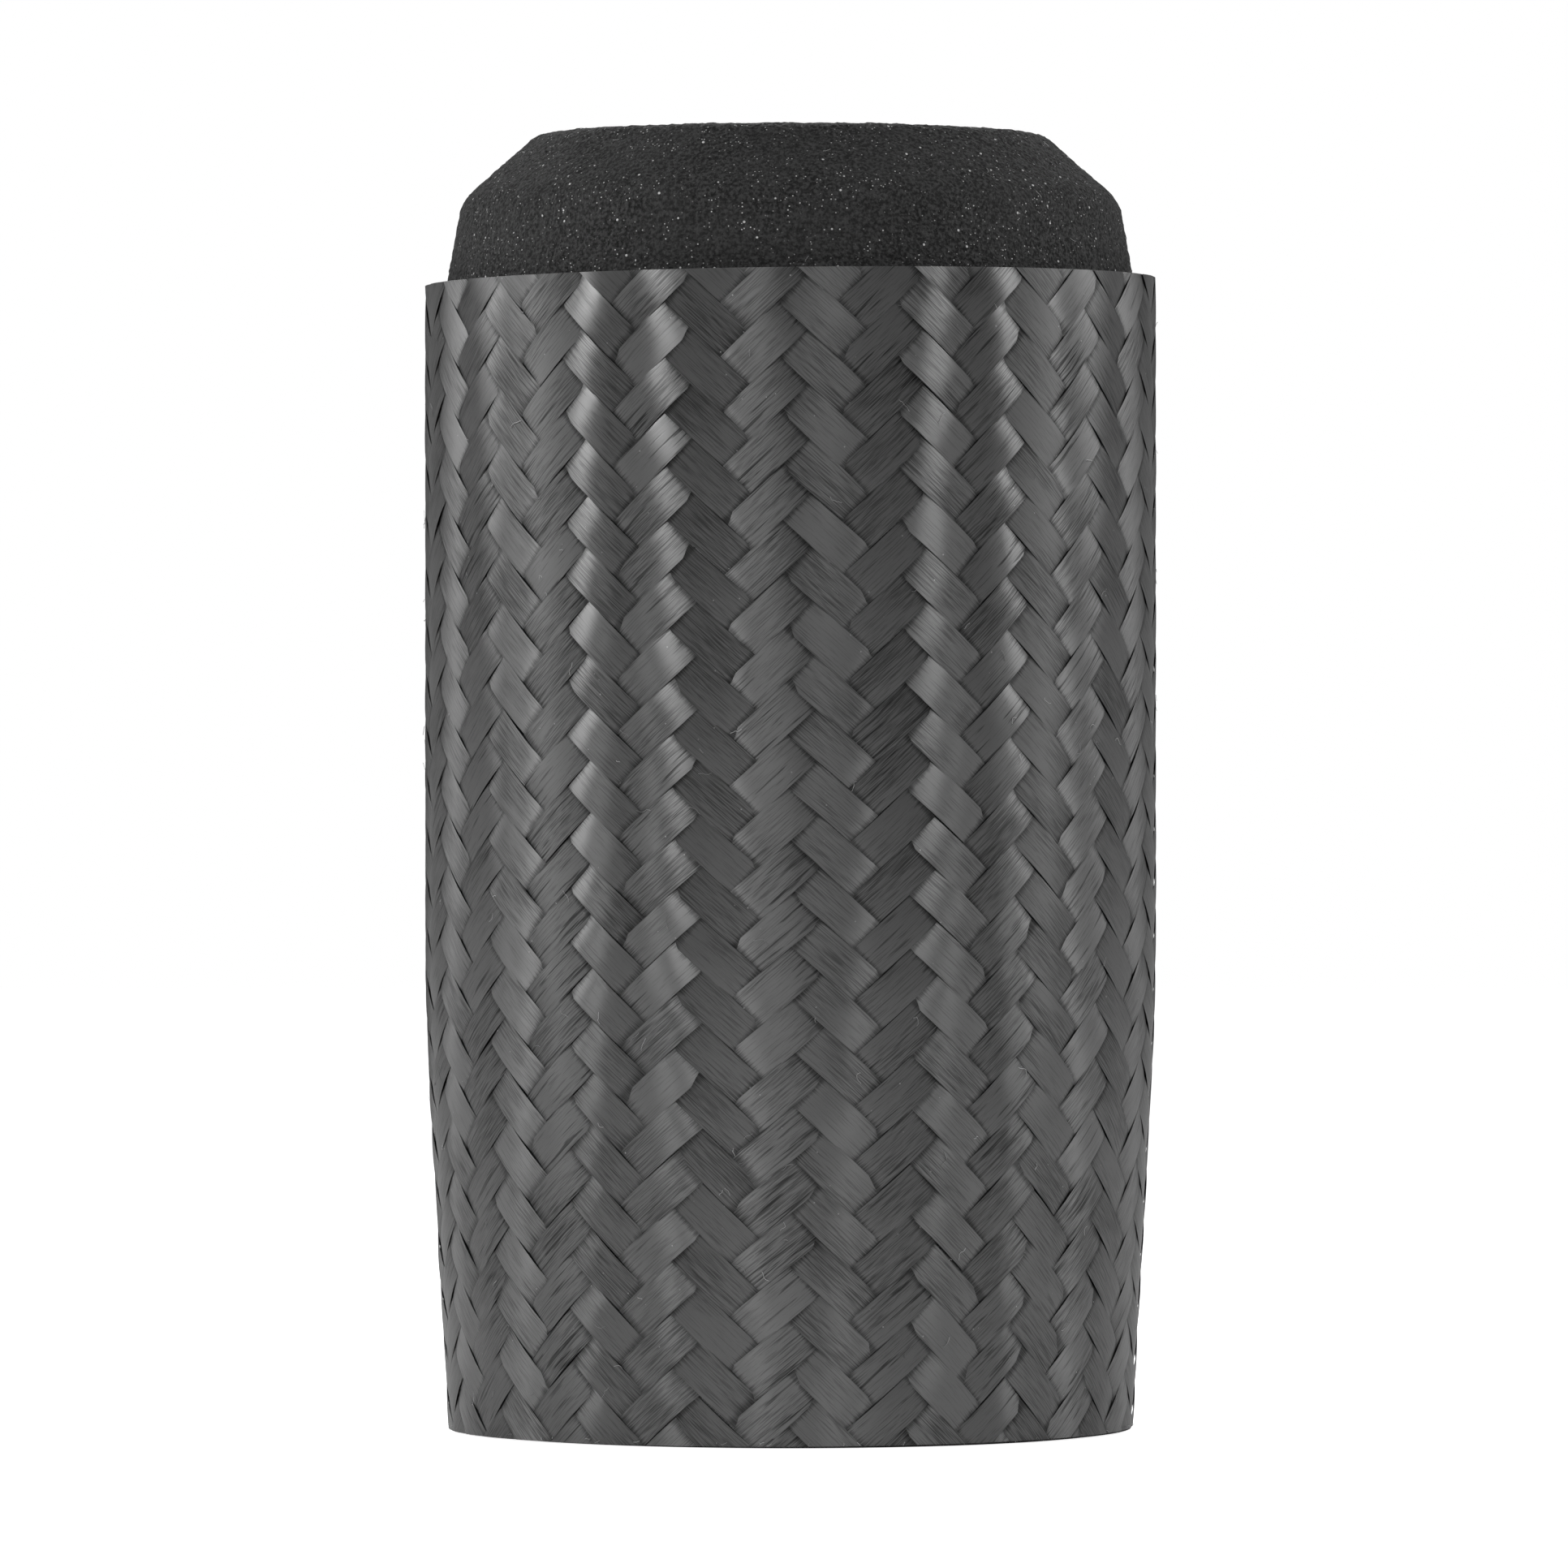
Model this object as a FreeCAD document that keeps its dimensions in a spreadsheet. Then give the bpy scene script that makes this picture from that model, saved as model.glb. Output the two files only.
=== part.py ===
"""Bear canister: a braided-carbon food store for the back country, in millimetres.

The body is a thin laminate tube under a woven carbon sleeve. The tube narrows a little towards a
moulded base, and a rim ring inside its mouth holds the gasket that the lid sits on. The lid is a
tapered, hollow moulding closed by a metal plate. Three quarter-turn latches run through it: each
has a coin-slotted bolt with a tongue at its lower end, and turning the bolt clockwise swings the
tongue out under the rim ring's ledge. The model stands at rest with the tongues turned in.

Frame: +Z up along the tube, origin on the ground under the centre of the foot ring.
"""

import FreeCAD
import Part
import Sketcher

import math
import os

PARTS_FOLDER = "parts"

# ---------------------------------------------------------------------------------------------
# Driving dimensions. Every size that can be chosen by itself stands here once.
# ---------------------------------------------------------------------------------------------

DIMENSIONS = [
    # the wall
    ("shell_diameter", 203.0, "outside of the braided sleeve above its taper"),
    ("rim_height", 318.0, "ground to the sleeve's top edge"),
    ("skin_thickness", 1.4, "braided sleeve"),
    ("tube_thickness", 1.6, "laminate tube under the sleeve"),
    ("tube_drop", 1.6, "sleeve's edge down to the tube's edge, which the hand-cut braid covers"),
    ("taper_angle", 3.2, "degrees that the wall leans in towards the base"),
    ("bend_height", 140.0, "where the straight wall starts to bend into the taper"),
    ("bend_radius", 850.0, "radius of that bend"),
    # the base
    ("foot_stand", 0.5, "how far the foot ring holds the base off the ground"),
    ("flange_thickness", 0.6, "base flange that covers the tube's lower edge"),
    ("flange_inset", 0.5, "sleeve surface to the flange's edge"),
    ("base_height", 26.0, "ground to the top of the base's skirt"),
    ("base_wall", 4.0, "thickness of the base's skirt"),
    ("base_floor", 4.0, "thickness of the base's floor"),
    ("arch_height", 3.0, "depth of the hollow under the base"),
    ("foot_ring_width", 7.0, "rubber foot ring"),
    ("foot_ring_height", 2.3, "rubber foot ring"),
    ("foot_margin", 4.0, "flange edge to foot ring, and foot ring to hollow"),
    # the rim ring and its gasket
    ("ring_wall", 2.7, "upper part of the rim ring, round the lid's skirt"),
    ("ring_drop", 2.2, "sleeve's edge down to the top of the rim ring"),
    ("ring_depth", 20.0, "sleeve's edge down to the underside of the ledge"),
    ("ledge_thickness", 5.0, "ledge that the lid sits on and the tongues hold"),
    ("ledge_width", 9.0, "mouth wall to the ledge's inner edge"),
    ("mouth_gap", 0.4, "between the lid's skirt and the rim ring"),
    ("gasket_thickness", 2.0, "flat rubber gasket"),
    ("gasket_width", 4.6, "flat rubber gasket"),
    # the lid
    ("lid_rise", 40.8, "sleeve's edge up to the lid's top"),
    ("shoulder_rise", 22.4, "sleeve's edge up to the shoulder"),
    ("side_taper", 10.2, "degrees that the lid's side leans in"),
    ("shoulder_slope", 48.6, "degrees that the shoulder leans in"),
    ("shoulder_round", 12.0, "fillet where side and shoulder meet"),
    ("top_round", 6.0, "fillet where shoulder and top meet"),
    ("lid_wall", 4.0, "thickness of the lid moulding"),
    ("plate_thickness", 3.0, "metal plate that closes the lid"),
    ("plate_gap", 0.15, "between the plate and the lid's skirt"),
    # the screws that hold the plate
    ("screw_count", 6.0, "countersunk plate screws"),
    ("screw_radius", 2.0, "screw shank"),
    ("screw_head_radius", 4.0, "screw head"),
    ("screw_head_height", 2.4, "screw head"),
    ("screw_length", 14.0, "screw shank"),
    ("screw_inset", 15.4, "lid's side to the screws"),
    ("screw_post_radius", 5.4, "moulded post round each screw"),
    ("recess_width", 2.2, "cross recess in the screw head"),
    # the latches
    ("latch_count", 3.0, "quarter-turn latches"),
    ("latch_inset", 20.5, "edge of the lid's flat top to the latch axis"),
    ("head_radius", 10.5, "latch bolt head"),
    ("head_height", 2.4, "latch bolt head"),
    ("head_sink", 0.3, "lid's top down to the head and the bezel"),
    ("head_gap", 0.3, "between the head and the bezel"),
    ("slot_width", 2.2, "coin slot"),
    ("slot_depth", 1.5, "coin slot"),
    ("bezel_width", 3.0, "metal ring round the head"),
    ("shaft_radius", 5.0, "latch bolt shaft"),
    ("shaft_gap", 0.5, "between the shaft and the lid's post"),
    ("running_gap", 0.06, "between the shaft and its bush"),
    ("end_gap", 0.2, "between the bush and the tongue"),
    ("square_side", 7.0, "squared end of the bolt, which carries the tongue"),
    ("square_gap", 0.05, "between the square and the tongue"),
    ("stud_radius", 3.0, "threaded end of the bolt"),
    ("stud_tail", 1.0, "thread that shows below the nut"),
    ("post_radius", 9.0, "moulded post round the shaft"),
    ("post_head_radius", 16.0, "thicker top of that post"),
    ("post_head_depth", 8.0, "thicker top of that post, below the lid's roof"),
    ("o_ring_cord_radius", 0.9, "weather seal on the shaft, under the head"),
    ("o_ring_gap", 0.1, "between that seal and the bolt"),
    ("bush_radius", 7.0, "nylon bush under the plate"),
    ("bush_spigot_radius", 6.2, "nylon bush where it passes the plate"),
    ("tongue_thickness", 3.5, "latch tongue"),
    ("tongue_width", 16.0, "latch tongue's arm"),
    ("tongue_engagement", 6.0, "how far the locked tongue reaches under the ledge"),
    ("tongue_tip_round", 4.0, "corners of the tongue's tip"),
    ("hub_radius", 12.0, "round part of the tongue"),
    ("lock_gap", 0.3, "between the ledge and the tongue"),
    ("quarter_turn", 90.0, "degrees from open to locked"),
    ("stop_pin_radius", 1.5, "pin that stops the tongue at each end of its turn"),
    ("stop_pin_circle", 9.5, "latch axis to stop pin"),
    ("stop_gap", 0.3, "between the pin and the tongue's notch"),
    ("stop_slack", 2.0, "degrees of play that the notch leaves"),
    ("washer_radius", 7.0, "spring washer"),
    ("washer_thickness", 1.2, "spring washer"),
    ("nut_width", 10.0, "locking nut across its flats"),
    ("nut_height", 6.0, "locking nut"),
    ("nut_collar_height", 1.6, "round nylon collar at the nut's lower end"),
    ("edge_break", 0.4, "small bevel on turned metal edges"),
]


class Size:
    """A length, angle or count with its present value and the sheet expression that gives it."""

    def __init__(self, text, value):
        self.text = text
        self.value = value

    def joined(self, sign, other, value):
        return Size("(%s %s %s)" % (self.text, sign, other.text), value)

    def __add__(self, other):
        other = size(other)
        return self.joined("+", other, self.value + other.value)

    def __sub__(self, other):
        other = size(other)
        return self.joined("-", other, self.value - other.value)

    def __mul__(self, other):
        other = size(other)
        return self.joined("*", other, self.value * other.value)

    def __truediv__(self, other):
        other = size(other)
        return self.joined("/", other, self.value / other.value)

    def __neg__(self):
        return Size("(-1 * %s)" % self.text, -self.value)


def size(number):
    """A plain number as a Size. A Size stays as it is."""
    return number if isinstance(number, Size) else Size(repr(float(number)), float(number))


def sine(angle):
    return Size("sin(%s * 1 deg)" % angle.text, math.sin(math.radians(angle.value)))


def cosine(angle):
    return Size("cos(%s * 1 deg)" % angle.text, math.cos(math.radians(angle.value)))


def tangent(angle):
    return Size("tan(%s * 1 deg)" % angle.text, math.tan(math.radians(angle.value)))


def angle_of_half_width(half_width, radius):
    """Degrees that a half width takes up at a radius."""
    text = "(asin(%s / %s) / 1 deg)" % (half_width.text, radius.text)
    return Size(text, math.degrees(math.asin(half_width.value / radius.value)))


class Sheet:
    """The spreadsheet of driving dimensions. Each is read as an attribute, as a Size."""

    def __init__(self, document):
        sheet = document.addObject("Spreadsheet::Sheet", "dims")
        for row, (alias, value, note) in enumerate(DIMENSIONS, start=1):
            sheet.set("A%d" % row, alias)
            sheet.set("B%d" % row, str(value))
            sheet.set("C%d" % row, note)
            sheet.setAlias("B%d" % row, alias)
            setattr(self, alias, Size("dims.%s" % alias, value))
        document.recompute()


doc = FreeCAD.newDocument("bear_canister")
dims = Sheet(doc)
ZERO = size(0)

# ---------------------------------------------------------------------------------------------
# Sizes that follow from the driving ones
# ---------------------------------------------------------------------------------------------

shell_radius = dims.shell_diameter / 2
flange_top = dims.foot_stand + dims.flange_thickness
tube_outside = dims.skin_thickness
tube_inside = dims.skin_thickness + dims.tube_thickness
bend_foot_height = dims.bend_height - dims.bend_radius * sine(dims.taper_angle)
bend_foot_radius = shell_radius - dims.bend_radius * (size(1) - cosine(dims.taper_angle))

tube_top = dims.rim_height - dims.tube_drop
ring_top = dims.rim_height - dims.ring_drop
ledge_bottom = dims.rim_height - dims.ring_depth
ledge_top = ledge_bottom + dims.ledge_thickness
mouth_radius = shell_radius - tube_inside - dims.ring_wall
lid_radius = mouth_radius - dims.mouth_gap
ledge_radius = mouth_radius - dims.ledge_width

lid_bottom = ledge_top + dims.gasket_thickness
lid_top = dims.rim_height + dims.lid_rise
plate_top = lid_bottom + dims.plate_thickness
plate_radius = lid_radius - dims.lid_wall - dims.plate_gap
shoulder_height = dims.rim_height + dims.shoulder_rise
shoulder_radius = lid_radius - dims.shoulder_rise * tangent(dims.side_taper)
top_radius = shoulder_radius - (dims.lid_rise - dims.shoulder_rise) * tangent(dims.shoulder_slope)
half_slope = (dims.side_taper + dims.shoulder_slope) / 2
inner_shoulder_height = shoulder_height - dims.lid_wall * tangent(half_slope)
inner_shoulder_radius = shoulder_radius - dims.lid_wall
roof = lid_top - dims.lid_wall
screw_circle = lid_radius - dims.screw_inset
latch_circle = top_radius - dims.latch_inset

head_top = lid_top - dims.head_sink
head_bottom = head_top - dims.head_height
bezel_inside = dims.head_radius + dims.head_gap
bezel_radius = bezel_inside + dims.bezel_width
o_ring_height = head_bottom - dims.o_ring_gap - dims.o_ring_cord_radius
o_ring_radius = dims.shaft_radius + dims.o_ring_gap + dims.o_ring_cord_radius
tongue_top = ledge_bottom - dims.lock_gap
tongue_bottom = tongue_top - dims.tongue_thickness
tongue_length = ledge_radius + dims.tongue_engagement - latch_circle
nut_top = tongue_bottom - dims.washer_thickness
nut_bottom = nut_top - dims.nut_height
stud_bottom = nut_bottom - dims.stud_tail


def wall_radius(height, inset):
    """Radius of the leaning part of the wall at a height, an inset in from the sleeve's surface."""
    lean = (bend_foot_height - height) * tangent(dims.taper_angle)
    return bend_foot_radius - lean - inset


# ---------------------------------------------------------------------------------------------
# Drawing tools
# ---------------------------------------------------------------------------------------------


def bind(thing, name, value):
    """Ties a property of a document object to a sheet expression."""
    thing.setExpression(name, size(value).text)


def origin_feature(body, role):
    return [feature for feature in body.Origin.OriginFeatures if feature.Role == role][0]


def new_body(name):
    body = doc.addObject("PartDesign::Body", name)
    body.Label = name
    return body


def new_sketch(body, name, role, height=ZERO, shift=ZERO):
    """A sketch on one of the body's own origin planes, moved along its normal and its own X."""
    sketch = body.newObject("Sketcher::SketchObject", name)
    sketch.AttachmentSupport = (origin_feature(body, role), [""])
    sketch.MapMode = "FlatFace"
    bind(sketch, "AttachmentOffset.Base.x", shift)
    bind(sketch, "AttachmentOffset.Base.z", height)
    return sketch


def fix_coordinate(sketch, kind, edge, end, value):
    """Holds one coordinate of a point at a sheet expression, or on the axis where it is zero."""
    if abs(value.value) < 1e-9:
        axis = -2 if kind == "DistanceX" else -1
        sketch.addConstraint(Sketcher.Constraint("PointOnObject", edge, end, axis))
        return
    number = sketch.addConstraint(Sketcher.Constraint(kind, edge, end, value.value))
    bind(sketch, "Constraints[%d]" % number, value)


def draw_arc(sketch, start, finish, radius, x, y):
    """The shorter arc between two points. Gives the edge, then its start and its finish ends."""
    centre = FreeCAD.Vector(x.value, y.value, 0)
    circle = Part.Circle(centre, FreeCAD.Vector(0, 0, 1), radius.value)
    turn_start = math.atan2(start.y - centre.y, start.x - centre.x)
    turn_finish = math.atan2(finish.y - centre.y, finish.x - centre.x)
    sweep = math.remainder(turn_finish - turn_start, 2 * math.pi)
    if sweep > 0:
        arc = Part.ArcOfCircle(circle, turn_start, turn_start + sweep)
        return sketch.addGeometry(arc), 1, 2
    arc = Part.ArcOfCircle(circle, turn_finish, turn_finish - sweep)
    return sketch.addGeometry(arc), 2, 1


def draw_outline(sketch, corners, arcs=None):
    """A closed outline through corners, each an (x, y) pair of Sizes. arcs maps the number of the
    edge that leaves a corner to its (radius, centre x, centre y)."""
    arcs = arcs or {}
    points = [FreeCAD.Vector(x.value, y.value, 0) for x, y in corners]
    edges = []
    for number, start in enumerate(points):
        finish = points[(number + 1) % len(points)]
        if number in arcs:
            edges.append(draw_arc(sketch, start, finish, *arcs[number]))
        else:
            edges.append((sketch.addGeometry(Part.LineSegment(start, finish)), 1, 2))
    for number, (edge, _, end) in enumerate(edges):
        following, beginning, _ = edges[(number + 1) % len(edges)]
        sketch.addConstraint(Sketcher.Constraint("Coincident", edge, end, following, beginning))
    for (edge, beginning, _), (x, y) in zip(edges, corners):
        fix_coordinate(sketch, "DistanceX", edge, beginning, x)
        fix_coordinate(sketch, "DistanceY", edge, beginning, y)
    for number, (radius, _, _) in arcs.items():
        rule = Sketcher.Constraint("Radius", edges[number][0], radius.value)
        bind(sketch, "Constraints[%d]" % sketch.addConstraint(rule), radius)


def draw_circle(sketch, x, y, radius):
    centre = FreeCAD.Vector(x.value, y.value, 0)
    circle = sketch.addGeometry(Part.Circle(centre, FreeCAD.Vector(0, 0, 1), radius.value))
    fix_coordinate(sketch, "DistanceX", circle, 3, x)
    fix_coordinate(sketch, "DistanceY", circle, 3, y)
    number = sketch.addConstraint(Sketcher.Constraint("Radius", circle, radius.value))
    bind(sketch, "Constraints[%d]" % number, radius)


def rectangle(low_x, low_y, high_x, high_y):
    return [(low_x, low_y), (high_x, low_y), (high_x, high_y), (low_x, high_y)]


def turn_about_axis(body, name, sketch, remove=False):
    """Turns a sketch about its own vertical axis, and adds the form or cuts it away."""
    kind = "PartDesign::Groove" if remove else "PartDesign::Revolution"
    feature = body.newObject(kind, name)
    feature.Profile = sketch
    feature.ReferenceAxis = (sketch, ["V_Axis"])
    feature.Angle = 360
    return feature


def revolve(body, name, corners, arcs=None, remove=False, shift=ZERO):
    """Turns an outline of (radius, height) corners about Z, or about a line shifted along X."""
    sketch = new_sketch(body, name + "_outline", "XZ_Plane", shift=shift)
    draw_outline(sketch, corners, arcs)
    return turn_about_axis(body, name, sketch, remove)


def raise_sketch(body, name, draw, shape, bottom, top, remove=False):
    """Draws a level shape, and raises it as a pad or cuts it as a pocket between two heights."""
    sketch = new_sketch(body, name + "_outline", "XY_Plane", height=top if remove else bottom)
    draw(sketch, *shape)
    feature = body.newObject("PartDesign::Pocket" if remove else "PartDesign::Pad", name)
    feature.Profile = sketch
    bind(feature, "Length", top - bottom)
    return feature


def post(body, name, x, y, radius, bottom, top):
    return raise_sketch(body, name, draw_circle, (x, y, radius), bottom, top)


def hole(body, name, x, y, radius, bottom, top):
    return raise_sketch(body, name, draw_circle, (x, y, radius), bottom, top, remove=True)


def prism(body, name, corners, bottom, top):
    return raise_sketch(body, name, draw_outline, (corners,), bottom, top)


def opening(body, name, corners, bottom, top, arcs=None):
    return raise_sketch(body, name, draw_outline, (corners, arcs), bottom, top, remove=True)


def repeat_round(body, feature, count):
    """Repeats a feature round the body's Z axis."""
    pattern = body.newObject("PartDesign::PolarPattern", feature.Name + "_ring")
    pattern.Originals = [feature]
    pattern.Axis = (origin_feature(body, "Z_Axis"), [""])
    pattern.Angle = 360
    bind(pattern, "Occurrences", count)
    body.Tip = pattern
    return pattern


def add_fillet(body, name, radius, wanted):
    """Fillets those edges of the body's tip that the wanted test picks."""
    doc.recompute()
    base = body.Tip
    edges = enumerate(base.Shape.Edges, start=1)
    chosen = ["Edge%d" % number for number, edge in edges if wanted(edge)]
    if not chosen:
        raise ValueError("no edge to round in " + body.Name)
    fillet = body.newObject("PartDesign::Fillet", name)
    fillet.Base = (base, chosen)
    bind(fillet, "Radius", radius)
    return fillet


def is_circle_at(edge, radius, height):
    """True for a circle about Z of one radius at one height."""
    if not isinstance(edge.Curve, Part.Circle):
        return False
    centre = edge.Curve.Center
    off = max(abs(centre.x), abs(centre.y), abs(centre.z - height.value))
    return off < 0.01 and abs(edge.Curve.Radius - radius.value) < 0.01


def is_upright_at(edge, x):
    """True for a straight upright edge at one x."""
    a = edge.Vertexes[0].Point
    b = edge.Vertexes[-1].Point
    return abs(a.x - x.value) < 0.01 and abs(b.x - x.value) < 0.01 and abs(a.y - b.y) < 0.01


def place_on_circle(body, circle_radius, direction, turn):
    """Moves a piece made about Z out along a direction, and turns it about itself. Degrees."""
    bind(body, "Placement.Base.x", circle_radius * cosine(direction))
    bind(body, "Placement.Base.y", circle_radius * sine(direction))
    bind(body, "Placement.Rotation.Angle", turn * Size("1 deg", 1.0))


# ---------------------------------------------------------------------------------------------
# The canister's body
# ---------------------------------------------------------------------------------------------


def make_wall_layer(name, outer_inset, inner_inset, top):
    """One layer of the wall: leaning at the base, then bending, then straight up to its top."""
    corners = [
        (wall_radius(flange_top, outer_inset), flange_top),
        (bend_foot_radius - outer_inset, bend_foot_height),
        (shell_radius - outer_inset, dims.bend_height),
        (shell_radius - outer_inset, top),
        (shell_radius - inner_inset, top),
        (shell_radius - inner_inset, dims.bend_height),
        (bend_foot_radius - inner_inset, bend_foot_height),
        (wall_radius(flange_top, inner_inset), flange_top),
    ]
    arcs = {}
    for edge, inset in ((1, outer_inset), (5, inner_inset)):
        centre = shell_radius - inset - dims.bend_radius
        arcs[edge] = (dims.bend_radius, centre, dims.bend_height)
    body = new_body(name)
    revolve(body, name + "_wall", corners, arcs)
    return body


def make_base():
    """A dish whose skirt fits inside the tube and whose thin flange covers the tube's lower edge,
    and the rubber ring let into its underside."""
    flange_radius = wall_radius(flange_top, dims.flange_inset)
    foot_outside = flange_radius - dims.foot_margin
    foot_inside = foot_outside - dims.foot_ring_width
    hollow_radius = foot_inside - dims.foot_margin
    hollow_top = dims.foot_stand + dims.arch_height
    floor_top = hollow_top + dims.base_floor
    corners = [
        (ZERO, hollow_top),
        (hollow_radius, hollow_top),
        (hollow_radius, dims.foot_stand),
        (flange_radius, dims.foot_stand),
        (flange_radius, flange_top),
        (wall_radius(flange_top, tube_inside), flange_top),
        (wall_radius(dims.base_height, tube_inside), dims.base_height),
        (wall_radius(dims.base_height, tube_inside + dims.base_wall), dims.base_height),
        (wall_radius(floor_top, tube_inside + dims.base_wall), floor_top),
        (ZERO, floor_top),
    ]
    base_cap = new_body("base_cap")
    revolve(base_cap, "base_dish", corners)
    band = rectangle(foot_inside, ZERO, foot_outside, dims.foot_ring_height)
    revolve(base_cap, "foot_groove", band, remove=True)
    foot_ring = new_body("foot_ring")
    revolve(foot_ring, "foot_band", band)
    return [base_cap, foot_ring]


def make_rim():
    """The ring inside the canister's mouth, with the ledge that holds the gasket."""
    outside = shell_radius - tube_inside
    section = [
        (ledge_radius, ledge_bottom),
        (outside, ledge_bottom),
        (outside, ring_top),
        (mouth_radius, ring_top),
        (mouth_radius, ledge_top),
        (ledge_radius, ledge_top),
    ]
    rim_ring = new_body("rim_ring")
    revolve(rim_ring, "rim_section", section)
    gasket_inside = lid_radius - dims.gasket_width
    rim_gasket = new_body("rim_gasket")
    revolve(rim_gasket, "gasket_band", rectangle(gasket_inside, ledge_top, lid_radius, lid_bottom))
    return [rim_ring, rim_gasket]


# ---------------------------------------------------------------------------------------------
# The lid
# ---------------------------------------------------------------------------------------------


def hollow_out_lid(body):
    """Cuts the lid's hollow, which keeps one wall thickness all round."""
    inside = lid_radius - dims.lid_wall
    run = (roof - inner_shoulder_height) * tangent(dims.shoulder_slope)
    hollow = [
        (ZERO, lid_bottom),
        (inside, lid_bottom),
        (inside, dims.rim_height),
        (inner_shoulder_radius, inner_shoulder_height),
        (inner_shoulder_radius - run, roof),
        (ZERO, roof),
    ]
    revolve(body, "lid_hollow", hollow, remove=True)


def add_lid_posts(body):
    """Posts for the latches and for the plate's screws, each grown into the lid's wall."""
    into_roof = roof + dims.lid_wall / 2
    head_foot = roof - dims.post_head_depth
    latch_post = post(body, "latch_post", ZERO, latch_circle, dims.post_radius, plate_top, into_roof)
    repeat_round(body, latch_post, dims.latch_count)
    post_head = post(
        body, "post_head", ZERO, latch_circle, dims.post_head_radius, head_foot, into_roof
    )
    repeat_round(body, post_head, dims.latch_count)
    screw_post_top = (
        inner_shoulder_height
        + (inner_shoulder_radius - screw_circle) / tangent(dims.shoulder_slope)
    )
    screw_post = post(
        body, "screw_post", screw_circle, ZERO, dims.screw_post_radius, plate_top, screw_post_top
    )
    repeat_round(body, screw_post, dims.screw_count)


def bore_lid_posts(body):
    """Stepped bores for the latches, and pilot holes for the screws."""
    seal_bottom = o_ring_height - dims.o_ring_cord_radius
    seal_radius = o_ring_radius + dims.o_ring_cord_radius
    bore_radius = dims.shaft_radius + dims.shaft_gap
    bores = (
        ("bezel_seat", bezel_radius, head_bottom),
        ("seal_seat", seal_radius, seal_bottom),
        ("shaft_bore", bore_radius, plate_top),
    )
    for name, radius, bottom in bores:
        bore = hole(body, name, ZERO, latch_circle, radius, bottom, lid_top)
        repeat_round(body, bore, dims.latch_count)
    screw_tip = lid_bottom + dims.screw_length
    pilot = hole(body, "pilot", screw_circle, ZERO, dims.screw_radius, plate_top, screw_tip)
    repeat_round(body, pilot, dims.screw_count)


def make_lid_shell():
    body = new_body("lid_shell")
    outline = [
        (ZERO, lid_bottom),
        (lid_radius, lid_bottom),
        (lid_radius, dims.rim_height),
        (shoulder_radius, shoulder_height),
        (top_radius, lid_top),
        (ZERO, lid_top),
    ]
    revolve(body, "lid_form", outline)
    rounds = (
        ("shoulder_round", dims.shoulder_round, shoulder_radius, shoulder_height),
        ("top_round", dims.top_round, top_radius, lid_top),
    )
    for name, radius, edge_radius, height in rounds:
        add_fillet(body, name, radius, lambda edge: is_circle_at(edge, edge_radius, height))
    hollow_out_lid(body)
    add_lid_posts(body)
    bore_lid_posts(body)
    return body


def stop_pin_place():
    """The stop pin stands opposite the middle of the tongue's turn."""
    half_turn = dims.quarter_turn / 2
    x = dims.stop_pin_circle * sine(half_turn)
    y = latch_circle - dims.stop_pin_circle * cosine(half_turn)
    return x, y


def make_lid_plate():
    body = new_body("lid_plate")
    revolve(body, "plate_disc", rectangle(ZERO, lid_bottom, plate_radius, plate_top))
    pin_x, pin_y = stop_pin_place()
    holes = (
        ("bush_hole", ZERO, latch_circle, dims.bush_spigot_radius, dims.latch_count),
        ("pin_hole", pin_x, pin_y, dims.stop_pin_radius, dims.latch_count),
        ("screw_hole", screw_circle, ZERO, dims.screw_radius, dims.screw_count),
    )
    for name, x, y, radius, count in holes:
        repeat_round(body, hole(body, name, x, y, radius, lid_bottom, plate_top), count)
    return body


def make_plate_screws():
    """Pan-head screws that hold the plate to the lid. They hang clear of the ledge's bore."""
    head_bottom_height = lid_bottom - dims.screw_head_height
    profile = [
        (ZERO, head_bottom_height),
        (dims.screw_head_radius - dims.edge_break * 2, head_bottom_height),
        (dims.screw_head_radius, head_bottom_height + dims.edge_break * 2),
        (dims.screw_head_radius, lid_bottom),
        (dims.screw_radius, lid_bottom),
        (dims.screw_radius, lid_bottom + dims.screw_length - dims.screw_radius),
        (ZERO, lid_bottom + dims.screw_length),
    ]
    body = new_body("plate_screws")
    screw = revolve(body, "screw", profile, shift=screw_circle)
    repeat_round(body, screw, dims.screw_count)
    reach = dims.screw_head_radius * 0.6
    half = dims.recess_width / 4
    recess_top = head_bottom_height + dims.screw_head_height / 2
    arms = (
        ("recess_along", reach, half),
        ("recess_across", half, reach),
    )
    for name, half_x, half_y in arms:
        arm = rectangle(screw_circle - half_x, -half_y, screw_circle + half_x, half_y)
        recess = opening(body, name, arm, head_bottom_height, recess_top)
        repeat_round(body, recess, dims.screw_count)
    return body


def make_stop_pins():
    body = new_body("stop_pins")
    x, y = stop_pin_place()
    pin = post(body, "stop_pin", x, y, dims.stop_pin_radius, tongue_bottom, plate_top)
    repeat_round(body, pin, dims.latch_count)
    return body


# ---------------------------------------------------------------------------------------------
# One latch. Each piece is made about Z, with the tongue's arm along X.
# ---------------------------------------------------------------------------------------------


def make_bezel(name):
    section = [
        (bezel_inside, head_bottom),
        (bezel_radius, head_bottom),
        (bezel_radius, head_top),
        (bezel_inside + dims.edge_break, head_top),
        (bezel_inside, head_top - dims.edge_break),
    ]
    body = new_body(name)
    revolve(body, name + "_section", section)
    return body


def make_o_ring(name):
    body = new_body(name)
    sketch = new_sketch(body, name + "_outline", "XZ_Plane")
    draw_circle(sketch, o_ring_radius, o_ring_height, dims.o_ring_cord_radius)
    turn_about_axis(body, name + "_torus", sketch)
    return body


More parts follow.
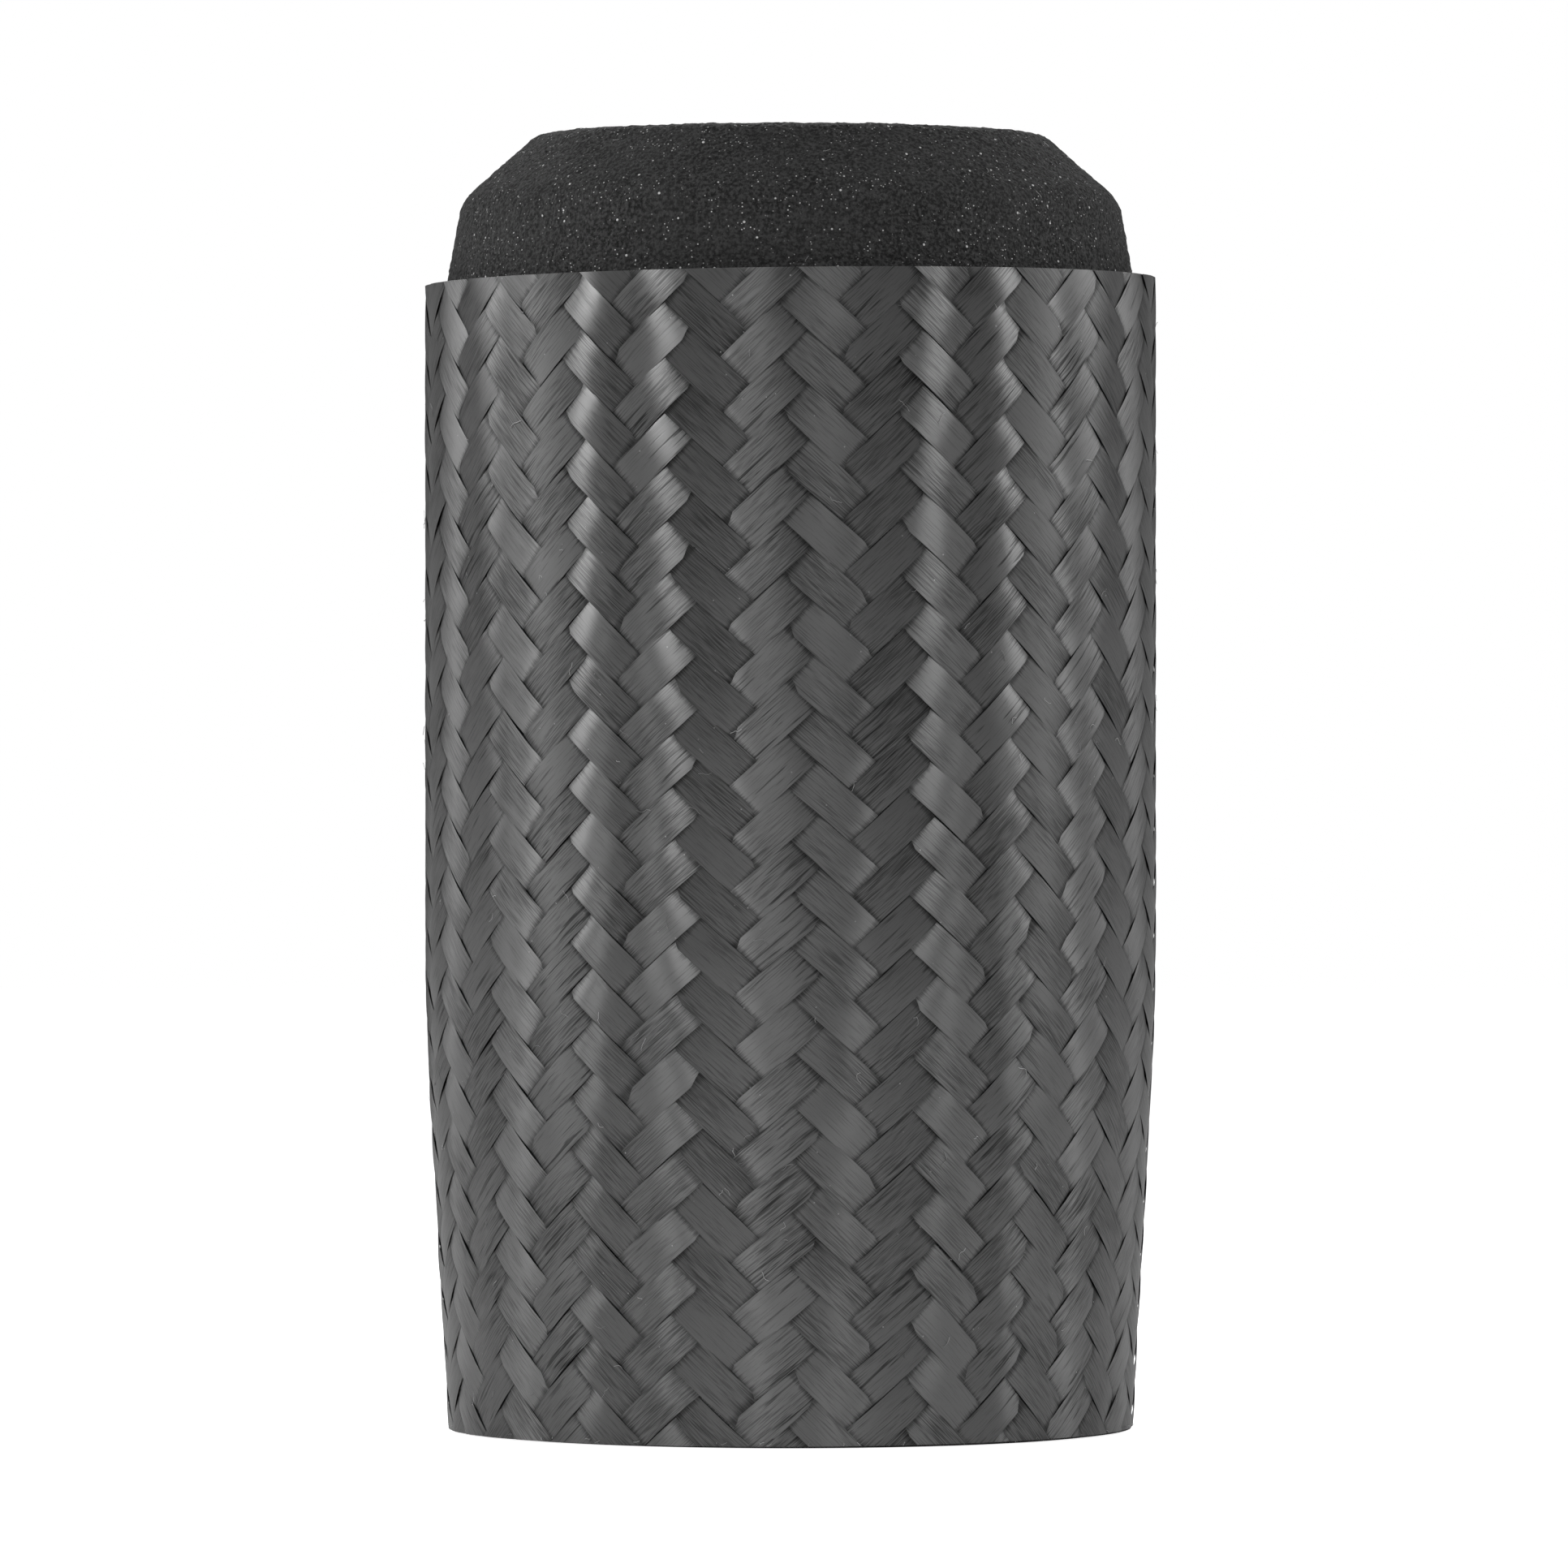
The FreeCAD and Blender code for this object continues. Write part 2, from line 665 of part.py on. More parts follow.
def make_bush(name):
    """A nylon sleeve that carries the shaft. Its collar bears on the plate from below."""
    bore = dims.shaft_radius + dims.running_gap
    section = [
        (bore, tongue_top + dims.end_gap),
        (dims.bush_radius, tongue_top + dims.end_gap),
        (dims.bush_radius, lid_bottom),
        (dims.bush_spigot_radius, lid_bottom),
        (dims.bush_spigot_radius, plate_top),
        (bore, plate_top),
    ]
    body = new_body(name)
    revolve(body, name + "_section", section)
    return body


def make_bolt(name):
    """Coin-slotted head, shaft, square for the tongue and stud for the nut, in one piece."""
    bevel = dims.edge_break
    profile = [
        (ZERO, stud_bottom),
        (dims.stud_radius - bevel, stud_bottom),
        (dims.stud_radius, stud_bottom + bevel),
        (dims.stud_radius, tongue_top),
        (dims.shaft_radius, tongue_top),
        (dims.shaft_radius, head_bottom),
        (dims.head_radius, head_bottom),
        (dims.head_radius, head_top - bevel),
        (dims.head_radius - bevel, head_top),
        (ZERO, head_top),
    ]
    body = new_body(name)
    revolve(body, name + "_turned", profile)
    half = dims.square_side / 2
    prism(body, name + "_square", rectangle(-half, -half, half, half), tongue_bottom, tongue_top)
    half_slot = dims.slot_width / 2
    across = dims.head_radius + 1
    slot = rectangle(-across, -half_slot, across, half_slot)
    opening(body, name + "_slot", slot, head_top - dims.slot_depth, head_top)
    return body


def cut_stop_notch(body, name):
    """Cuts the hub's notch, in which the stop pin stands from one end of the turn to the other."""
    inner = dims.stop_pin_circle - dims.stop_pin_radius - dims.stop_gap
    outer = dims.hub_radius + 1
    pin_half = angle_of_half_width(dims.stop_pin_radius + dims.stop_gap, dims.stop_pin_circle)
    half_angle = dims.quarter_turn / 2 + pin_half + dims.stop_slack
    low = size(180) - half_angle
    high = size(180) + half_angle
    corners = [
        (inner * cosine(low), inner * sine(low)),
        (outer * cosine(low), outer * sine(low)),
        (outer * cosine(high), outer * sine(high)),
        (inner * cosine(high), inner * sine(high)),
    ]
    arcs = {1: (outer, ZERO, ZERO), 3: (inner, ZERO, ZERO)}
    opening(body, name + "_notch", corners, tongue_bottom, tongue_top, arcs)


def make_tongue(name):
    body = new_body(name)
    post(body, name + "_hub", ZERO, ZERO, dims.hub_radius, tongue_bottom, tongue_top)
    half_arm = dims.tongue_width / 2
    arm = rectangle(ZERO, -half_arm, tongue_length, half_arm)
    prism(body, name + "_arm", arm, tongue_bottom, tongue_top)
    add_fillet(
        body, name + "_tip", dims.tongue_tip_round, lambda edge: is_upright_at(edge, tongue_length)
    )
    cut_stop_notch(body, name)
    half = dims.square_side / 2 + dims.square_gap
    opening(body, name + "_square", rectangle(-half, -half, half, half), tongue_bottom, tongue_top)
    return body


def make_washer(name):
    """A coned spring washer: narrow end on the nut, wide end under the tongue."""
    metal = dims.washer_thickness * 0.6
    section = [
        (dims.stud_radius, nut_top),
        (dims.stud_radius, nut_top + metal),
        (dims.washer_radius, tongue_bottom),
        (dims.washer_radius, tongue_bottom - metal),
    ]
    body = new_body(name)
    revolve(body, name + "_cone", section)
    return body


def make_nut(name):
    """A hexagon nut with a round nylon collar at its lower end."""
    corner_radius = dims.nut_width / 2 / cosine(size(30))
    corners = []
    for number in range(6):
        turn = size(60 * number)
        corners.append((corner_radius * cosine(turn), corner_radius * sine(turn)))
    collar_top = nut_bottom + dims.nut_collar_height
    body = new_body(name)
    prism(body, name + "_hexagon", corners, collar_top, nut_top)
    collar_radius = dims.nut_width / 2 - dims.edge_break
    post(body, name + "_collar", ZERO, ZERO, collar_radius, nut_bottom, collar_top)
    hole(body, name + "_thread", ZERO, ZERO, dims.stud_radius, nut_bottom, nut_top)
    return body


def make_latch(number):
    """The pieces of one latch, set on the lid with the tongue turned in."""
    direction = size(90) + size(360) / dims.latch_count * size(number - 1)
    fixed = [
        make_bezel("bezel_%d" % number),
        make_o_ring("o_ring_%d" % number),
        make_bush("bush_%d" % number),
    ]
    turning = [
        make_bolt("bolt_%d" % number),
        make_tongue("tongue_%d" % number),
        make_washer("spring_washer_%d" % number),
        make_nut("lock_nut_%d" % number),
    ]
    for body in fixed:
        place_on_circle(body, latch_circle, direction, direction)
    for body in turning:
        place_on_circle(body, latch_circle, direction, direction + dims.quarter_turn)
    return fixed + turning


# ---------------------------------------------------------------------------------------------
# Build, check and write
# ---------------------------------------------------------------------------------------------


def build_subparts():
    subparts = [
        make_wall_layer("braided_sleeve", ZERO, tube_outside, dims.rim_height),
        make_wall_layer("inner_tube", tube_outside, tube_inside, tube_top),
    ]
    subparts += make_base()
    subparts += make_rim()
    subparts += [make_lid_shell(), make_lid_plate(), make_plate_screws(), make_stop_pins()]
    for number in range(1, int(dims.latch_count.value) + 1):
        subparts += make_latch(number)
    return subparts


def check_document(subparts):
    """Stops the build if any object failed or any sub-part isn't a sound solid."""
    for thing in doc.Objects:
        if "Invalid" in thing.State or "Error" in thing.State:
            raise RuntimeError("%s did not build: %s" % (thing.Name, thing.State))
    for body in subparts:
        if body.Shape.isNull() or not body.Shape.isValid() or not body.Shape.Solids:
            raise RuntimeError("%s has no sound solid" % body.Label)


def write_subparts(subparts):
    os.makedirs(PARTS_FOLDER, exist_ok=True)
    for body in subparts:
        body.Shape.exportStep(os.path.join(PARTS_FOLDER, body.Label + ".step"))
        low = body.Shape.BoundBox
        text = "%-18s %8.1f %8.1f %8.1f  to %8.1f %8.1f %8.1f  %10.0f mm3"
        corners = (low.XMin, low.YMin, low.ZMin, low.XMax, low.YMax, low.ZMax)
        print(text % ((body.Label,) + corners + (body.Shape.Volume,)))


parts = build_subparts()
doc.recompute()
check_document(parts)
write_subparts(parts)
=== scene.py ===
# %% [markdown]
# # A bear canister: braided carbon wall, black bevelled lid
#
# The real canister is a round tube with a braided carbon sleeve pulled over it, a moulded base, and a
# plug lid held by three coin-turned latches. The engineering model already holds every solid at its
# true size. This lesson dresses that model: it lays the eighty tows of the braid, grains the lid,
# scatters loose fibres, and gives each metal, rubber and plastic part its finish.
#
# All lengths are in metres, heights start at the ground, and the viewer stands on the -Y side.

# %% Load the engineering model
import math

import bpy
import numpy as np
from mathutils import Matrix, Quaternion, Vector


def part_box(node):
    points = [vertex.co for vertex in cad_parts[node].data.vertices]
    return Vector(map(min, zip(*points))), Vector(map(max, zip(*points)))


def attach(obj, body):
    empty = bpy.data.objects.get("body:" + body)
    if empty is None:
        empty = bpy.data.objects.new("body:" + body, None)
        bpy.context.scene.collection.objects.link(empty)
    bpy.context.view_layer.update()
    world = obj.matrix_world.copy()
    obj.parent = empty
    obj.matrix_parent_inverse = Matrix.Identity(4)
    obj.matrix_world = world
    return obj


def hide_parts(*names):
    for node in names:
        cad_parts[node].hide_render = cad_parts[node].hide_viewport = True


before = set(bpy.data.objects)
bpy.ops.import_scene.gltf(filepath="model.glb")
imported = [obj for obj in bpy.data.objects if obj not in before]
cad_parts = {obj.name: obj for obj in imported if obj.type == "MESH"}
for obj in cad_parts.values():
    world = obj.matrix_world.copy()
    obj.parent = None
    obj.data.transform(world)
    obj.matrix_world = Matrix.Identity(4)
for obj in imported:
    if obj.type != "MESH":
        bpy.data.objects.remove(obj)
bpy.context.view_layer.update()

MM = 0.001

# %% [markdown]
# ## The studio
#
# A long lens from three metres away keeps the tube's sides nearly parallel. The set is a white cove
# with softboxes at both sides, because carbon fibre shows its weave only where a light is mirrored
# along the fibres. One big box per side would light whole columns of the braid. So each side has four
# boxes instead:
#
# - a small box, stood on a corner, for the brightest floats;
# - a larger one above it, for the columns in the middle and near the edge;
# - a small one with a grid, aimed at the foot, where the wall leans in and the first box misses it;
# - a tall one level with the canister, for its outline.
#
# One more box behind it lights the lid's top.

# %% Camera
CAMERA_PLACE = (-0.0018, -3.117, 0.1854)
CAMERA_TILT = math.radians(-0.12)

camera_data = bpy.data.cameras.new("long_lens")
camera_data.lens = 257.8
camera_data.sensor_width = 36.0
camera = bpy.data.objects.new("camera", camera_data)
camera.location = CAMERA_PLACE
camera.rotation_euler = (math.pi / 2 + CAMERA_TILT, 0, 0)
bpy.context.scene.collection.objects.link(camera)
bpy.context.scene.camera = camera
bpy.context.scene.view_settings.view_transform = "Standard"
print("camera sees %.1f degrees, from %.2f m" % (math.degrees(camera_data.angle), -CAMERA_PLACE[1]))

# %% Softboxes


def softbox(name, azimuth, elevation, size, watts, tip=0, aim=0.17, spread=180, distance=1.4):
    """A rectangular light that faces the canister. Azimuth 0 is the viewer's side, +90 is +X.
    Tip turns the box about its own middle; 45 degrees stands it on a corner. Aim is the height it
    faces, and a spread under 180 degrees is a honeycomb grid that narrows its beam."""
    around = math.radians(azimuth)
    up = math.radians(elevation)
    direction = Vector((math.sin(around) * math.cos(up), -math.cos(around) * math.cos(up), math.sin(up)))
    data = bpy.data.lights.new(name, "AREA")
    data.shape = "RECTANGLE"
    data.size, data.size_y = size
    data.energy = watts
    data.spread = math.radians(spread)
    box = bpy.data.objects.new(name, data)
    box.location = Vector((0, 0, aim)) + direction * distance
    turn = Quaternion((0, 0, 1), math.radians(tip))
    box.rotation_euler = (direction.to_track_quat("Z", "Y") @ turn).to_euler()
    box.visible_camera = False
    bpy.context.scene.collection.objects.link(box)


softbox("left_softbox", -54, 24, (0.18, 0.18), 4.0, tip=45)
softbox("upper_left_softbox", -58, 41, (0.4, 0.34), 6.6)
softbox("low_left_softbox", -53, 13, (0.18, 0.18), 0.016, tip=45, aim=0.02, spread=18)
softbox("left_edge_softbox", -104, 22, (0.5, 0.7), 5.4)
softbox("right_softbox", 62, 23, (0.2, 0.2), 3.0, tip=45)
softbox("upper_right_softbox", 62, 45, (0.5, 0.4), 5.4)
softbox("low_right_softbox", 62, 13, (0.18, 0.18), 0.011, tip=45, aim=0.02, spread=18)
softbox("right_edge_softbox", 106, 22, (0.5, 0.7), 3.7)
softbox("back_softbox", 180, 40, (0.8, 0.5), 5.0, distance=1.6)
print(len(bpy.data.lights), "softboxes")

# %% [markdown]
# ## Helpers for finishes
#
# A finish is a node graph round one Principled shader. `finish` starts it with the values that are the
# same all over the surface, and `add` puts in one node and plugs its inputs, so that each finish below
# reads as a list of what changes over the surface.

# %% Start a finish and add nodes to it


def finish(name, **values):
    """A new material and its shader. Values name the shader's sockets, with _ for a space."""
    material = bpy.data.materials.new(name)
    material.use_nodes = True
    shader = material.node_tree.nodes["Principled BSDF"]
    for socket, value in values.items():
        shader.inputs[socket.replace("_", " ")].default_value = value
    return material, shader


def add(material, kind, inputs, **settings):
    """Adds a node. An input is a number, a colour, or another node's output."""
    node = material.node_tree.nodes.new("ShaderNode" + kind)
    for key, value in settings.items():
        setattr(node, key, value)
    for key, value in inputs.items():
        plug(material, value, node.inputs[key])
    return node


def plug(material, value, socket):
    if isinstance(value, bpy.types.NodeSocket):
        material.node_tree.links.new(value, socket)
    else:
        socket.default_value = value


def grey(value):
    return (value, value, value, 1.0)


# %% [markdown]
# ## Floor and cove
#
# The set has to look plain white, yet as much light from below and all round would drown the weave. So
# the floor and the cove are bright to the camera alone, and shine only weakly on everything else. The
# floor lies a hair below the foot ring, so that the two faces don't show through each other.

# %% Floor and cove
FLOOR_HALF = 6.0
FLOOR_DROP = 0.05 * MM
FLOOR_LIGHT = 0.05
FLOOR_GLOW = 0.9
COVE_LIGHT = 0.205

floor_mesh = bpy.data.meshes.new("floor")
floor_signs = ((-1, -1), (1, -1), (1, 1), (-1, 1))
floor_corners = [(x * FLOOR_HALF, y * FLOOR_HALF, -FLOOR_DROP) for x, y in floor_signs]
floor_mesh.from_pydata(floor_corners, [], [(0, 1, 2, 3)])
floor = bpy.data.objects.new("floor", floor_mesh)
bpy.context.scene.collection.objects.link(floor)
floor_finish, floor_shader = finish("white_paper", Base_Color=grey(0.9), Roughness=0.95)
floor_shader.inputs["Emission Color"].default_value = grey(1.0)
floor_seen = add(floor_finish, "LightPath", {}).outputs["Is Camera Ray"]
floor_levels = {"Value": floor_seen, "To Min": FLOOR_LIGHT, "To Max": FLOOR_GLOW}
floor_glow = add(floor_finish, "MapRange", floor_levels).outputs[0]
plug(floor_finish, floor_glow, floor_shader.inputs["Emission Strength"])
floor_mesh.materials.append(floor_finish)

world = bpy.data.worlds.new("white_cove")
world.use_nodes = True
bpy.context.scene.world = world
cove = world.node_tree.nodes["Background"]
cove.inputs["Color"].default_value = grey(1.0)
seen = world.node_tree.nodes.new("ShaderNodeLightPath")
level = world.node_tree.nodes.new("ShaderNodeMapRange")
level.inputs["To Min"].default_value = COVE_LIGHT
level.inputs["To Max"].default_value = 1.0
world.node_tree.links.new(seen.outputs["Is Camera Ray"], level.inputs["Value"])
world.node_tree.links.new(level.outputs[0], cove.inputs["Strength"])
print("floor light", FLOOR_LIGHT, "and cove light", COVE_LIGHT)

# %% [markdown]
# ## Reading outlines from the engineering model
#
# The wall and the lid are both turned shapes whose outside is convex, so the outline of each is the
# convex hull of its corner points, seen as radius against height. The braid, the lid's skin and the
# loose fibres all hang on these outlines, so they keep the engineering model's size.

# %% Outlines


def turns_out(a, b, c):
    """True when b lies inside the line from a to c."""
    return (b[0] - a[0]) * (c[1] - a[1]) - (b[1] - a[1]) * (c[0] - a[0]) >= 0


def outline(node):
    """Heights and radii of a turned node's outside, from its foot up."""
    corners = np.array([v.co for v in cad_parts[node].data.vertices])
    points = sorted({(round(z, 6), round(math.hypot(x, y), 6)) for x, y, z in corners.tolist()})
    hull = []
    for point in points:
        while len(hull) > 1 and turns_out(hull[-2], hull[-1], point):
            hull.pop()
        hull.append(point)
    # The hull starts at the inner edge of the foot. The outside starts at its outer edge.
    foot = max(range(len(hull)), key=lambda k: (hull[k][0] == points[0][0], hull[k][1]))
    return np.array(hull[foot:]).T


wall_heights, wall_radii = outline("braided_sleeve")
print("wall outline", len(wall_heights), "points, radius", wall_radii.min(), "to", wall_radii.max())


def wall_radius(height):
    return np.interp(height, wall_heights, wall_radii)


def place_at(angle, radius, height):
    """Places from angles, radii and heights. Angle 0 faces the viewer, and a quarter turn is +X."""
    return np.stack([radius * np.sin(angle), -radius * np.cos(angle), height], axis=-1)


# %% [markdown]
# ## The braid
#
# The sleeve is a biaxial braid: forty flat carbon tows wind up to the right and forty wind up to the
# left. Each tow passes over two of the others and then under two, and each neighbour does so one
# crossing later, which draws the upright herringbone columns. One float, the stretch that lies on top,
# repeats every 14.4 mm up a column.
#
# A bump map can't draw this: the tows overlap, their edges throw shadows, and the outline of the tube
# is wavy. So every tow is a real closed ribbon, and its radius rises and falls with the pattern. The
# whole pattern follows from one float: the angle and height at which its middle lies on the wall.

# %% Pattern of the braid
TOWS = 40
STEP = 2 * math.pi / TOWS
COLUMN_PITCH = 14.4 * MM
CLIMB = STEP / COLUMN_PITCH
HALF_SLEEVE = 0.7 * MM
MEAN_RADIUS = float(wall_radii.max()) - HALF_SLEEVE
SLOPE = math.atan2(COLUMN_PITCH, STEP * MEAN_RADIUS)
TOW_WIDTH = STEP * MEAN_RADIUS * math.sin(SLOPE)
FIRST_ANGLE = math.radians(-3.8)
FIRST_HEIGHT = 224.6 * MM
print("tow %.2f mm wide, rising at %.1f degrees" % (TOW_WIDTH / MM, math.degrees(SLOPE)))

# %% [markdown]
# ### How the sleeve has slipped
#
# A sleeve pulled over a tapered tube by hand never lies quite regular. Lower down it has turned a little
# to the right, mostly on its right side, and has slid up on the left. Both die away higher up, and at
# the rim it was pulled up by a millimetre. The table gives those shifts at a few heights, and in
# between they change evenly. They are listed one by one, as no rule gives such things.

# %% Table of slips
# height mm, turned at the front deg, extra turn at the sides deg, slid up mm, extra slide on the left mm
SLIP = np.array([
    (0, 0.9, 2.0, 1.0, 2.5),
    (50, 1.4, 1.9, 1.1, 2.4),
    (95, 2.0, 1.2, 1.3, 2.0),
    (140, 1.7, 0.65, 0.7, 1.2),
    (200, 0.95, 0.35, -0.2, 0.3),
    (260, 0.1, 0.05, 0.1, 0.0),
    (300, -0.2, 0.0, 1.1, 0.0),
    (320, -0.4, 0.0, 1.4, 0.0),
])
print("the sleeve has turned by up to", SLIP[:, 1].max(), "degrees in front")


def sideways(angle):
    """-1 at the left side, 0 in front and behind, +1 at the right side, without a jump anywhere."""
    return 1.3 * np.tanh(1.4 * np.sin(angle))


def slip(angle, height):
    """How far the braid has turned, in radians, and slid up, in metres, at a place on the wall."""
    shifts = [np.interp(height, SLIP[:, 0] * MM, SLIP[:, column]) for column in range(1, 5)]
    turn, side_turn, slide, left_slide = shifts
    side = sideways(angle)
    return np.radians(turn + side_turn * side), (slide - left_slide * side) * MM


# %% [markdown]
# ### Slow irregularity
#
# The hand of the braider also shows in small things: each tow wanders sideways, spreads and narrows,
# and lies a little higher or lower, more so near the base, where the sleeve was gathered in. A sum of a
# few waves with random phases gives each tow its own slow, smooth wander.

# %% Wander and looseness
FOOT_LOOSENESS = 0.8
GATHERED_HEIGHT = 110 * MM
dice = np.random.default_rng(11)


def wander(lengths, amplitude):
    """A function of tow number and height that wanders smoothly by about amplitude, as a sum of waves
    of the given lengths."""
    phases = dice.uniform(0, 2 * math.pi, (len(lengths), TOWS))
    sizes = dice.uniform(0.5, 1.0, (len(lengths), TOWS)) * amplitude / math.sqrt(len(lengths))

    def value(tow, height):
        waves = [
            size[tow] * np.sin(2 * math.pi * height / length + phase[tow])
            for length, size, phase in zip(lengths, sizes, phases)
        ]
        return sum(waves)

    return value


def looseness(height):
    """1 over most of the wall, and more near the base."""
    return 1 + FOOT_LOOSENESS * np.clip(1 - height / GATHERED_HEIGHT, 0, 1)


# %% [markdown]
# ### One ribbon per tow
#
# A ribbon is a row of cross-sections along its tow, each with nine points over a slightly rounded top
# and one under its belly. The tow climbs at a steady rate, and its radius rises over two crossings and
# sinks under the next two. Level cross-sections would cut each dive on the skew and blur one float
# into the next. So they lie square across the tow, and crowd together where it dives. Only near the two
# cut ends do they turn level, which gives the sleeve its clean rim. The lower end hangs a little past
# the wall's foot, over the flange of the base.
#
# Each point also gets a number: 1 on top of a float, less at the edges of the tow, and
# 0 where it lies under another. The finish multiplies the colour by it: painted shade in the gaps.

# %% Measures of a ribbon
# Cross-sections along a tow, how strongly they crowd at a dive, and how far from a cut they turn level.
ROWS = 226
GATHER = 0.3
CUT_BLEND = 12 * MM

# Rise of the rounded top, depth of the belly, rise and fall of the whole tow, and its mean depth.
CROWN = 0.09 * MM
BELLY = 0.26 * MM
WAVE = 0.38 * MM
SINK = 0.52 * MM

# Close to 0 the rise and fall is a plain wave. Larger numbers flatten the floats and steepen the dives.
SQUARENESS = 0.9

# The heights of the two cuts in front, and how much higher they are at the right.
TOP_CUT = float(wall_heights[-1])
TOP_SLANT = 1.2 * MM
BOTTOM_CUT = float(wall_heights[0]) - 0.45 * MM
BOTTOM_SLANT = 0.3 * MM

# Where a cross-section's points lie across the tow, in tow widths: nine on top, one below.
top_places = (-0.5, -0.45, -0.33, -0.17, 0.0, 0.17, 0.33, 0.45, 0.5)
across = np.array(top_places + (0.0,))
crown = np.append(CROWN * (1 - np.abs(2 * across[:-1]) ** 3), -BELLY)
print(TOWS, "tows each way, with", ROWS, "cross-sections of", len(across), "points")

# %% Corner points of the ribbons


def row_shares(tow, first_height):
    """How far up the wall each row lies, 0 to 1, and how squarely it crosses its tow. Rows gather
    where the tow dives. They run square across it, but level at the two cut ends, where that is 0."""
    share = np.linspace(0, 1, ROWS)[None, :, None]
    rise = TOP_CUT - BOTTOM_CUT
    beat_angle = math.pi * (BOTTOM_CUT + share * rise - first_height + COLUMN_PITCH * tow) / COLUMN_PITCH
    square = np.clip(np.minimum(share, 1 - share) * rise / CUT_BLEND, 0, 1)
    gathered = share + GATHER * square * np.sin(2 * beat_angle) * COLUMN_PITCH / math.pi / rise
    return gathered, square


def lay_tows(hand):
    """Corner points of all tows of one hand, as [tow, row, point round the ribbon], the lengths along
    and across each tow, and a factor for painted shade: 1 on top of a float, less at the tow's edges and
    0 under another tow. Hand is +1 for tows that climb to the right, and -1 for the others."""
    tow = np.arange(TOWS)[:, None, None]
    first_angle = FIRST_ANGLE + (0 if hand > 0 else STEP)
    first_height = FIRST_HEIGHT + (0 if hand > 0 else COLUMN_PITCH / 2)
    sway = wander((0.06, 0.11, 0.19), 0.18 * MM)
    spread = wander((0.045, 0.09), 0.045)
    lift = wander((0.026, 0.047), 0.09 * MM)
    share, square = row_shares(tow, first_height)
    height = BOTTOM_CUT + share * (TOP_CUT - BOTTOM_CUT) + 0 * tow + 0 * across
    angle = first_angle + STEP * tow + hand * CLIMB * (height - first_height)
    # How far a point has slipped depends on where it lies, so the two are worked out in turns.
    for _ in range(3):
        turn, slide = slip(angle, height)
        reach = across * TOW_WIDTH * (1 + spread(tow, height)) + sway(tow, height) * looseness(height)
        on_tow = height - slide - reach * math.cos(SLOPE)
        angle = first_angle + STEP * tow + hand * CLIMB * (on_tow - first_height)
        angle = angle - hand * reach * math.sin(SLOPE) / MEAN_RADIUS + turn
        top = TOP_CUT + TOP_SLANT * np.sin(angle)
        bottom = BOTTOM_CUT + BOTTOM_SLANT * np.sin(angle)
        height = bottom + share * (top - bottom) + square * reach * math.cos(SLOPE)
    beat = np.cos(math.pi * (on_tow - first_height + COLUMN_PITCH * tow) / COLUMN_PITCH)
    over = np.tanh(SQUARENESS * beat) / math.tanh(SQUARENESS)
    radius = wall_radius(height) - SINK + WAVE * over + crown
    radius = radius + lift(tow, height) * looseness(height)
    along = on_tow / math.sin(SLOPE)
    # Painted shade: a factor for the colour, 0 where the tow lies under a crossing tow and lower at its
    # edges.
    past_dive = np.interp(beat, (0.0, 0.25), (0.0, 1.0))
    off_edge = np.interp(np.abs(across), (0.45, 0.5), (1.0, 0.6))
    return place_at(angle, radius, height), along, across * TOW_WIDTH + 0 * along, past_dive * off_edge


# %% Faces of the ribbons


def tow_faces():
    """Faces of all ribbons: the sides between rows, then the two cut ends of each tow."""
    ring = len(across)
    row = np.arange(ROWS - 1)[None, :, None] * ring
    start = np.arange(TOWS)[:, None, None] * ROWS * ring
    here = np.arange(ring)[None, None, :]
    after = (here + 1) % ring
    low = start + row
    high = low + ring
    quads = np.stack([low + here, low + after, high + after, high + here], -1)
    ends = []
    for tow in range(TOWS):
        first = tow * ROWS * ring
        last = first + (ROWS - 1) * ring
        ends.append([first + k for k in reversed(range(ring))])
        ends.append([last + k for k in range(ring)])
    return quads.reshape(-1, 4).tolist() + ends


# %% [markdown]
# ### From ribbons to a mesh
#
# The finish needs to know which way the fibres run, so each ribbon carries a map called `fibre`: its
# first number is the length along the tow and its second the place across it, both in metres, with
# each tow in a lane of its own. A second map spreads the ribbons side by side without overlap, for
# anyone who bakes the finish.

# %% Ribbons to a mesh
TOW_LANE = 0.02
TOW_EDGE_ANGLE = 60


def link(name, mesh, material=None):
    piece = bpy.data.objects.new(name, mesh)
    bpy.context.scene.collection.objects.link(piece)
    if material:
        mesh.materials.append(material)
    return piece


def map_surface(mesh, name, values):
    """A surface map from one pair of numbers per corner."""
    layer = mesh.uv_layers.new(name=name)
    layer.data.foreach_set("uv", np.asarray(values, dtype=np.float32).ravel())


def braid_half(name, hand, material):
    """All tows of one hand as one piece."""
    points, along, place, gap_shade_factor = lay_tows(hand)
    faces = tow_faces()
    mesh = bpy.data.meshes.new(name)
    mesh.from_pydata(points.reshape(-1, 3).tolist(), [], faces)
    if hand > 0:
        mesh.flip_normals()
    corner = np.empty(len(mesh.loops), dtype=np.int64)
    mesh.loops.foreach_get("vertex_index", corner)
    tow = corner // (ROWS * len(across))
    lane = place.ravel()[corner] + tow * TOW_LANE
    map_surface(mesh, "fibre", np.stack([along.ravel()[corner], lane], axis=-1))
    map_surface(mesh, "OFBake", bake_places(corner, tow))
    # The factor for the painted shade in the gaps goes to the finish as an attribute.
    mesh.attributes.new("gap_shade_factor", "FLOAT", "POINT").data.foreach_set("value", gap_shade_factor.ravel())
    mesh.shade_smooth()
    mesh.set_sharp_from_angle(angle=math.radians(TOW_EDGE_ANGLE))
    piece = link(name, mesh, material)
    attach(piece, "canister")
    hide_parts("braided_sleeve")
    print(name, "has", len(mesh.polygons), "faces")


# %% Room for each ribbon in the bake map


